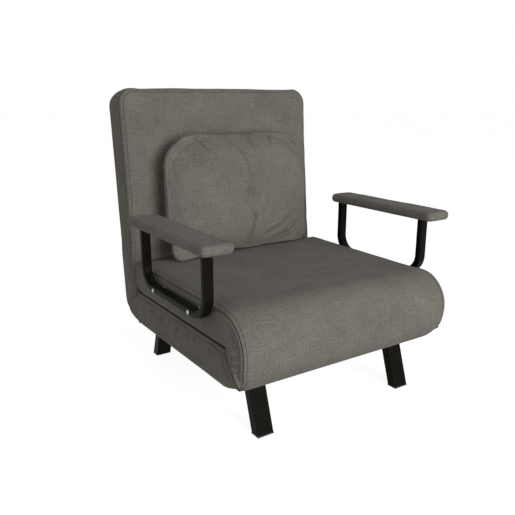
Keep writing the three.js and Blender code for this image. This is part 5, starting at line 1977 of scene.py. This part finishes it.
@dataclass
class BackSection:
    """The reclining back. Across, out and up are in its own leaning frame."""

    width: float = 0.650
    length: float = 0.66379
    thickness: float = 0.0933
    foot: float = 0.5836
    bottom: float = 0.145
    recline: float = math.radians(5.256)
    corner: float = 0.050
    crown: float = 0.003
    heel: float = 0.036  # radius of the lower rear corner in side view
    side_heel: float = 0.062  # the same at the sides
    foot_corner: float = 0.012
    bulge: float = 0.0018
    voxel: float = 0.0085
    cap: float = 0.0042
    recess: float = 0.0036  # how deep the side cloth lies under the gussets
    growth: float = 0.0045  # how much the filling stretches the cover
    right_swell: float = 0.0048
    top_swell: float = 0.0060

    def place(self, across: np.ndarray, out: np.ndarray, up: np.ndarray) -> np.ndarray:
        """Turns the back's own coordinates into points in the chair's frame.

        Args:
            across: places from left to right.
            out: places from the front face to the rear.
            up: places along the back.

        Returns:
            The points.
        """
        c, s = math.cos(self.recline), math.sin(self.recline)
        return np.column_stack([across, self.foot + out * c + up * s + NOSE_FRONT, self.bottom - out * s + up * c])

    def cloth(self, gussets: Sequence[CornerGusset]) -> tuple[Cloth, list[np.ndarray]]:
        """Lays out the cover, fills it and holds it in under the gussets.

        Args:
            gussets: the cloth that overlaps its lower corners.

        Returns:
            The cloth, and the lines of topstitching.
        """
        front = SewnEdge(radius=0.014, seam_turn=88, stitch_gap=-0.0172, wrap_margin=0.008, panel_margin=0.012)
        rear = SewnEdge(radius=0.018, seam_turn=60, stitch_gap=None, wrap_margin=0.006)
        plate = Plate(
            self.width,
            self.length,
            (self.foot_corner, self.foot_corner, self.corner, self.corner),
            self.thickness,
            front,
            rear,
            RadiusBlend(0.018, 0.014, 0.016),
            RadiusBlend(0.020, 0.018, 0.028),
            bulge=self.bulge,
        )

        def crowned(across: np.ndarray, out: np.ndarray, up: np.ndarray) -> np.ndarray:
            """Crowns the front panel.

            Args:
                across: places from left to right.
                out: places from the front face to the rear.
                up: places along the back.

            Returns:
                The points in the chair's frame.
            """
            x, z = across / (self.width / 2), 2 * up / self.length - 1
            swell = self.crown * np.clip(1 - x**2, 0, 1) ** 0.6 * np.clip(1 - z**4, 0, 1)
            swell = swell * np.clip(1 - out / 0.012, 0, 1)
            return self.place(across, out - swell, up)

        cloth = plate.patchwork(crowned).weld()
        across, out, up = self.locate(cloth.points)
        free = smooth((up - 0.185) / 0.06) * smooth((self.thickness + 0.001 - out) / 0.02)
        cloth.points = cloth.points + Filling(self.voxel, self.cap, kept=(0, 2)).swell(cloth, free)
        waves = 0.0009 * ripple(cloth.points, 0.15, 23) + 0.0003 * ripple(cloth.points, 0.05, 24)
        cloth.push(waves * free)
        across, out, up = self.locate(cloth.points)
        front_face = smooth((0.010 - out) / 0.006)
        lay_folds(cloth, BACK_FOLDS, np.column_stack([across, up]), front_face)
        lay_side_folds(cloth, BACK_SIDE_FOLDS, self.width / 2)
        cloth.points = self.heeled(cloth.points)
        for gusset in gussets:
            cloth.points[:, 0] += gusset.recess(cloth.points, self.recess)
        return cloth, [cloth.points[run] for run in cloth.runs]

    def heeled(self, points: np.ndarray) -> np.ndarray:
        """Rounds the lower rear corner in side view by mapping a square onto a quarter disc, and
        stretches the cover where the filling widens it.

        Args:
            points: the back's points.

        Returns:
            Where they end.
        """
        across, out, up = self.locate(points)
        heel = self.heel + (self.side_heel - self.heel) * smooth((np.abs(across) - 0.287) / 0.026)
        a, b = np.clip(out - self.thickness + heel, 0, None), np.clip(heel - up, 0, None)
        share = np.maximum(a, b) / np.maximum(np.hypot(a, b), 1e-9)
        share = np.where((a > 0) & (b > 0), share, 1.0)
        grown = 1 + self.growth * smooth((up - 0.1) / 0.3)
        wider = self.right_swell * smooth((across + 0.1) / 0.4) * smooth((up - 0.08) / 0.2)
        crest = self.top_swell * (1 - np.clip(across / (self.width / 2), -1, 1) ** 4)
        risen = (up + b * (1 - share)) * (1 + self.growth) + crest * smooth((up - 0.4) / 0.25)
        return self.place(across * grown + wider, out - a * (1 - share), risen)

    def locate(self, points: np.ndarray) -> tuple[np.ndarray, np.ndarray, np.ndarray]:
        """Turns points in the chair's frame into the back's own coordinates.

        Args:
            points: the points.

        Returns:
            Their places across, out and up.
        """
        c, s = math.cos(self.recline), math.sin(self.recline)
        y, z = points[:, 1] - NOSE_FRONT - self.foot, points[:, 2] - self.bottom
        return points[:, 0].copy(), y * c - z * s, y * s + z * c


PILLOW_FOLDS = (
    Fold(
        ((-0.052, 0.345), (-0.022, 0.312), (-0.002, 0.268), (0.004, 0.226), (0.002, 0.196)), 0.0026, 0.0055, 0.5, 0.2
    ),
    Fold(((-0.004, 0.146), (0.016, 0.112), (0.01, 0.07), (0.002, 0.026)), 0.0042, 0.0058, 0.7, 0.35),
    Fold(((0.06, 0.048), (0.11, 0.066), (0.16, 0.104)), 0.0048, 0.008, 0.8, 0.15),
    Fold(((0.11, 0.028), (0.16, 0.044), (0.205, 0.078)), 0.0044, 0.007, 0.8, 0.15),
    Fold(((-0.215, 0.12), (-0.17, 0.14), (-0.12, 0.146)), 0.0034, 0.008, 0.7),
    Fold(((-0.19, 0.3), (-0.15, 0.27), (-0.11, 0.256)), 0.0032, 0.009, 0.7),
    Fold(((0.19, 0.3), (0.15, 0.268), (0.1, 0.25)), 0.0032, 0.009, 0.7),
    Fold(((-0.15, 0.352), (-0.13, 0.33), (-0.124, 0.31)), 0.0042, 0.006, 0.7, 0.15),
    Fold(((-0.06, 0.356), (-0.052, 0.334), (-0.05, 0.316)), 0.004, 0.0058, 0.7, 0.15),
    Fold(((0.03, 0.356), (0.028, 0.336), (0.034, 0.314)), 0.0042, 0.006, 0.7, 0.15),
    Fold(((0.11, 0.354), (0.106, 0.334), (0.098, 0.316)), 0.004, 0.006, 0.7, 0.15),
    Fold(((-0.17, 0.024), (-0.15, 0.05), (-0.12, 0.07)), 0.0038, 0.0065, 0.7, 0.15),
    Fold(((-0.09, 0.016), (-0.08, 0.044)), 0.002, 0.0055, 0.6),
)


@dataclass
class Pillow:
    """The loose pillow that leans on the back and stands on the seat."""

    back: BackSection
    width: float = 0.500
    height: float = 0.358
    rim: float = 0.012
    swell: tuple[float, float] = (0.070, 0.046)
    corners: tuple[float, float, float, float] = (0.036, 0.045, 0.098, 0.098)
    middle_across: float = 0.012
    middle_out: float = -0.0585
    middle_up: float = 0.3545
    seat_height: float = 0.3248
    squareness: float = 2.6  # 2 would swell in ellipses, more follows the outline
    fullness: float = 0.86
    tuft: tuple[float, float, float] = (0.018, 0.024, 0.016)  # half width, half height and depth
    hollow: tuple[float, float, float] = (0.070, 0.075, 0.012)  # the same of the dent around it
    rear_rest: float = -0.0012  # how far off the back's face its rear lies
    pressed: float = 0.012  # over this distance it flattens on the back and on the seat
    forward: tuple[float, float] = (0.046, 0.010)  # its lower left leans out and to the left by this

    def plate(self) -> Plate:
        """Lays out the flat cover.

        Returns:
            Two panels and the boxing.
        """
        front, rear = (
            SewnEdge(
                radius=0.005,
                seam_turn=turn,
                seam_depth=depth,
                stitch_gap=None,
                wrap_margin=0.001,
                panel_margin=0.004,
            )
            for turn, depth in ((60, 0.0026), (45, 0.0020))
        )
        return Plate(self.width, self.height, self.corners, self.rim, front, rear, pitch=0.0047)

    def cloth(self) -> Cloth:
        """Lays out the cover, swells and gathers it, and leans it on the back and the seat.

        Returns:
            The pillow's cloth.
        """

        def swollen(across: np.ndarray, out: np.ndarray, up: np.ndarray) -> np.ndarray:
            """Swells both panels.

            Args:
                across: places from left to right.
                out: places from the front panel to the rear.
                up: places from the bottom up.

            Returns:
                The points in the pillow's own frame.
            """
            x, z = across / (self.width / 2), (up - self.height / 2) / (self.height / 2)
            share = (np.abs(x) ** self.squareness + np.abs(z) ** self.squareness) ** (1 / self.squareness)
            rise = np.clip(1 - share**2.0, 0, 1) ** self.fullness
            face = np.clip(out / self.rim, 0, 1)
            depth = np.where(face < 0.5, -self.swell[0] * rise, self.swell[1] * rise)
            return np.column_stack([across, out + depth, up])

        cloth = self.plate().patchwork(swollen).weld()
        cloth.points = cloth.points + Filling(0.0072, 0.0065, pressure=5.0, smoothing=2).swell(cloth, 1.0)
        across, out, up = cloth.points.T.copy()
        on_front = smooth((self.rim * 0.35 - out) / 0.006)
        tuft = np.exp(-((across / self.tuft[0]) ** 2) - (((up - 0.168) / self.tuft[1]) ** 2))
        hollow = np.exp(-((across / self.hollow[0]) ** 2) - (((up - 0.170) / self.hollow[1]) ** 2))
        out = out + on_front * (self.tuft[2] * tuft + self.hollow[2] * hollow)
        waves = 0.0015 * ripple(cloth.points, 0.085, 33) + 0.0005 * ripple(cloth.points, 0.035, 34)
        cloth.points = np.column_stack([across, out, up])
        cloth.push(waves)
        lay_folds(cloth, PILLOW_FOLDS, cloth.points[:, [0, 2]], on_front)
        across, out, up = cloth.points.T.copy()
        low, high = cloth.points.min(0), cloth.points.max(0)
        across = (across - (low[0] + high[0]) / 2) * self.width / (high[0] - low[0])
        up = (up - (low[2] + high[2]) / 2) * self.height / (high[2] - low[2])
        thick = self.rim + sum(self.swell)
        out = (out - low[1]) * thick / (high[1] - low[1]) - self.swell[0] - self.rim / 2
        across = across * (1 - 0.022 * smooth((up + 0.02) / 0.16)) + self.middle_across
        out, up = out + self.middle_out, up + self.middle_up
        forward = smooth((-across - 0.03) / 0.19) * smooth((0.340 - up) / 0.16)
        out, across = out - self.forward[0] * forward, across - self.forward[1] * forward
        rear, soft = self.rear_rest, self.pressed
        out = np.where(out > rear - soft, rear - soft * np.exp(-(out - rear + soft) / soft), out)
        cloth.points = self.back.place(across, out, up)
        height, low = cloth.points[:, 2], self.seat_height
        cloth.points[:, 2] = np.where(
            height < low + soft, low + soft * np.exp((height - low - soft) / soft), height
        )
        return cloth


@dataclass
class ArmPad:
    """A padded armrest over its plywood board."""

    side: int
    inner: float
    outer: float
    front: float
    rear: float
    low: float
    high: float
    corner: float = 0.016

    def cloth(self) -> Cloth:
        """Lays out the cover.

        Returns:
            The pad's cloth.
        """
        edge = SewnEdge(
            radius=0.0118, seam_depth=0.0, stitch_gap=None, wrap_margin=0.0002, panel_margin=0.004, seam_dark=0.0
        )
        width, length, height = self.outer - self.inner, self.rear - self.front, self.high - self.low
        plate = Plate(width, length, (self.corner,) * 4, height, edge, edge, pitch=0.0045)
        centre = self.side * (self.inner + self.outer) / 2

        def place(across: np.ndarray, out: np.ndarray, up: np.ndarray) -> np.ndarray:
            """Lays the pad flat: out is downwards from its top, up runs back."""
            return np.column_stack([centre + across, up + self.front + NOSE_FRONT, self.high - out])

        cloth = plate.patchwork(place).weld()
        top = smooth((cloth.points[:, 2] - self.low - 0.006) / 0.012)
        cloth.push(0.0005 * ripple(cloth.points, 0.07, 40 + self.side) * top)
        return cloth


@dataclass
class ArmTube:
    """The U-shaped armrest tube of flat-oval section, bent at both lower corners."""

    side: int
    inner: float
    outer: float
    front: float
    rear: float
    low: float
    top: float
    depth: float = 0.018
    edge: float = 0.0036
    bend: float = 0.062
    bend_count: int = 28
    edge_count: int = 6

    def build(self, finish: bpy.types.Material) -> bpy.types.Object:
        """Sweeps the tube's rounded section along its bent centre line.

        Args:
            finish: the tube's material.

        Returns:
            The tube's object.
        """
        half = self.depth / 2
        radius = self.bend - half
        front, rear, low = self.front + half, self.rear - half, self.low + half
        path = np.concatenate(
            [
                [[front, self.top]],
                arc((front + radius, low + radius), radius, 180, 270, self.bend_count),
                arc((rear - radius, low + radius), radius, 270, 360, self.bend_count),
                [[rear, self.top]],
            ]
        )
        tangent = np.gradient(path, axis=0)
        tangent[0], tangent[-1] = [0, -1], [0, 1]
        tangent /= np.linalg.norm(tangent, axis=1, keepdims=True)
        normal = np.column_stack([tangent[:, 1], -tangent[:, 0]])
        w, d, r, k = (self.outer - self.inner) / 2, half, self.edge, self.edge_count
        section = np.concatenate(
            [
                arc((w - r, d - r), r, 0, 90, k),
                arc((-w + r, d - r), r, 90, 180, k),
                arc((-w + r, -d + r), r, 180, 270, k),
                arc((w - r, -d + r), r, 270, 360, k),
            ]
        )
        centre = self.side * (self.inner + w)
        mesh = bmesh.new()
        loops = []
        for point, out in zip(path, normal):
            loops.append(
                [
                    mesh.verts.new((centre + a, point[0] + b * out[0] + NOSE_FRONT, point[1] + b * out[1]))
                    for a, b in section
                ]
            )
        count = len(section)
        for one, two in zip(loops[:-1], loops[1:]):
            for k in range(count):
                mesh.faces.new([one[k], one[(k + 1) % count], two[(k + 1) % count], two[k]])
        mesh.faces.new(loops[0][::-1])
        mesh.faces.new(loops[-1])
        bmesh.ops.recalc_face_normals(mesh, faces=mesh.faces)
        name = f"armrest_tube_{'right' if self.side > 0 else 'left'}"
        data = bpy.data.meshes.new(name)
        mesh.to_mesh(data)
        mesh.free()
        return dressed(placed(name, data), finish, 40)


@dataclass
class Studio:
    """The camera at the photograph's view, a pale floor and soft light."""

    eye: tuple[float, float, float] = (-0.96277, -1.38203, 0.78571)
    pitch: float = 0.260387
    yaw: float = 0.588474
    roll: float = 0.002780
    lens: float = 42.160
    ambient: float = 0.215
    clip: float = 0.05
    aim: tuple[float, float, float] = (0, 0, 0.35)
    key: tuple[tuple[float, float, float], float, float] = ((0.36, -3.9, 1.15), 2.4, 115.0)  # place, size, power
    fill: tuple[tuple[float, float, float], float, float] = ((-3.0, -1.2, 0.9), 2.2, 17.0)
    floor_size: float = 60.0
    floor_colour: str = "#a8a8a8"
    floor_glow: float = 0.91

    def build(self) -> None:
        """Builds the camera, the lights, the floor and the world."""
        scene = bpy.context.scene
        scene.view_settings.view_transform = "Standard"
        look = Vector(
            (
                math.sin(self.yaw) * math.cos(self.pitch),
                math.cos(self.yaw) * math.cos(self.pitch),
                -math.sin(self.pitch),
            )
        )
        right = Vector((math.cos(self.yaw), -math.sin(self.yaw), 0))
        up = right.cross(look)
        c, s = math.cos(self.roll), math.sin(self.roll)
        right, up = c * right + s * up, -s * right + c * up
        data = bpy.data.cameras.new("camera")
        data.lens, data.sensor_width, data.clip_start = self.lens, 36.0, self.clip
        camera = placed("camera", data)
        turn = Matrix((right, up, -look)).transposed().to_4x4()
        camera.matrix_world = Matrix.Translation(self.eye) @ turn
        scene.camera = camera
        self._light("key", *self.key)
        self._light("fill", *self.fill)
        self._floor()
        self._world()

    def _light(self, name: str, place: tuple[float, float, float], size: float, power: float) -> None:
        """Adds a square soft light aimed at the chair.

        Args:
            name: its name.
            place: where it hangs.
            size: the length of its side.
            power: its power in watts.
        """
        data = bpy.data.lights.new(name, "AREA")
        data.shape, data.size, data.energy = "SQUARE", size, power
        lamp = placed(name, data)
        way = Vector(self.aim) - Vector(place)
        lamp.matrix_world = Matrix.Translation(place) @ way.to_track_quat("-Z", "Y").to_matrix().to_4x4()

    @staticmethod
    def _seen(tree: bpy.types.NodeTree) -> bpy.types.NodeSocket:
        """Tells rays that show a surface from rays that only carry its light.

        Args:
            tree: the node tree to add to.

        Returns:
            1 for a ray from the camera, off a gloss or through glass, otherwise 0.
        """
        path = add_node(tree, "ShaderNodeLightPath").outputs
        seen = path["Is Camera Ray"]
        for kind in ("Is Glossy Ray", "Is Transmission Ray"):
            seen = add_node(tree, "ShaderNodeMath", {0: seen, 1: path[kind]}, operation="MAXIMUM").outputs[0]
        return seen

    def _floor(self) -> None:
        """Adds the floor, white to the camera but for the chair's soft shadow."""
        bpy.ops.mesh.primitive_plane_add(size=self.floor_size, location=(0, 0, 0))
        floor = bpy.context.object
        floor.name = "studio_floor"
        material, tree = new_tree("matt_white_floor")
        matt = add_node(tree, "ShaderNodeBsdfDiffuse", {"Color": linear(self.floor_colour)}).outputs[0]
        glow = add_node(tree, "ShaderNodeEmission", {"Color": (1, 1, 1, 1), "Strength": self.floor_glow}).outputs[0]
        both = add_node(tree, "ShaderNodeAddShader", {0: matt, 1: glow}).outputs[0]
        shown = add_node(tree, "ShaderNodeMixShader", {0: self._seen(tree), 1: matt, 2: both}).outputs[0]
        add_node(tree, "ShaderNodeOutputMaterial", {"Surface": shown})
        floor.data.materials.append(material)

    def _world(self) -> None:
        """Sets a white world that lights the chair gently."""
        world = bpy.data.worlds.new("studio")
        bpy.context.scene.world = world
        world.use_nodes = True
        tree = world.node_tree
        tree.nodes.clear()
        strength = add_node(
            tree, "ShaderNodeMapRange", {"Value": self._seen(tree), "To Min": self.ambient, "To Max": 1.0}
        ).outputs[0]
        sky = add_node(tree, "ShaderNodeBackground", {"Color": (1, 1, 1, 1), "Strength": strength}).outputs[0]
        add_node(tree, "ShaderNodeOutputWorld", {"Surface": sky})


def dress_nodes(frame: dict, finishes: dict[Finish, bpy.types.Material]) -> None:
    """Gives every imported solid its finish.

    Args:
        finishes: the materials by slot.
    """
    slots = {part["node"]: part["material_slot"] for part in frame["record"]["subparts"]}
    for name, piece in frame["nodes"].items():
        piece.data.materials.clear()
        piece.data.materials.append(finishes[Finish(slots[name])])


def span(node: str) -> tuple[float, float, float, float, float, float]:
    """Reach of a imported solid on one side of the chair.

    Args:
        node: its name.

    Returns:
        Distances from the middle to its inner and outer side, its front and rear depth, its lowest
        and highest height.
    """
    low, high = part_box(node)
    inner, outer = sorted((abs(low[0]), abs(high[0])))
    return inner, outer, low[1] - NOSE_FRONT, high[1] - NOSE_FRONT, low[2], high[2]


def install(piece: bpy.types.Object, body: str, slot: Finish, nodes: Sequence[str] = ()) -> bpy.types.Object:
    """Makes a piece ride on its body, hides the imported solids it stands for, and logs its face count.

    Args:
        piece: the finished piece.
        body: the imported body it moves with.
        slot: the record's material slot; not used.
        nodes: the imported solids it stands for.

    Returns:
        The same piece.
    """
    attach(piece, body)
    if nodes:
        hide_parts(*nodes)
    LOG.info("%s: %d faces on %s", piece.name, len(piece.data.polygons), body)
    return piece


def main() -> None:
    """Builds the chair bed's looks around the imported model."""
    logging.basicConfig(level=logging.INFO, format="%(name)s %(message)s")
    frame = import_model()
    finishes = build_finishes()
    dress_nodes(frame, finishes)
    Studio().build()
    mattress = Mattress()
    stitcher = Stitcher()

    seat, roll, runs = SeatSection(mattress).shaped()
    piece = install(seat.to_object("seat_cover", finishes[Finish.COVER]), "seat", Finish.COVER,
                    ("seat_cushion", "seat_under_cushion"))
    piece = install(roll.to_object("front_roll_cover", finishes[Finish.COVER]), "seat", Finish.COVER, ("front_roll",))
    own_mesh(piece)
    install(stitcher.sew("seat_topstitching", runs, finishes[Finish.COVER]), "seat", Finish.COVER)

    lower = LowerSection(mattress).cloth()
    piece = install(lower.to_object("lower_cover", finishes[Finish.COVER]), "base", Finish.COVER, ("lower_cushion",))

    gussets = [CornerGusset(side, mattress) for side in (-1, 1)]
    for name, gusset in zip(("left", "right"), gussets):
        piece = gusset.cloth().to_object(f"corner_gusset_{name}", finishes[Finish.COVER])
        install(piece, "base", Finish.COVER)
        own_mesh(piece)

    back = BackSection()
    sheet, runs = back.cloth(gussets)
    piece = install(sheet.to_object("back_cover", finishes[Finish.COVER]), "back", Finish.COVER, ("back_cushion",))
    install(stitcher.sew("back_topstitching", runs, finishes[Finish.COVER]), "back", Finish.COVER)

    sheet = Pillow(back).cloth()
    piece = install(sheet.to_object("pillow_cover", finishes[Finish.PILLOW]), "pillow", Finish.PILLOW, ("pillow",))

    for name, side in (("left", -1), ("right", 1)):
        sheet = ArmPad(side, *span(f"arm_pad_{name}")).cloth()
        piece = install(sheet.to_object(f"armrest_pad_{name}", finishes[Finish.ARM]), "seat", Finish.ARM,
                        (f"arm_pad_{name}",))
        tube = ArmTube(side, *span(f"arm_tube_{name}")).build(finishes[Finish.BLACK_STEEL])
        install(tube, "seat", Finish.BLACK_STEEL, (f"arm_tube_{name}",))


if __name__ == "__main__":
    main()
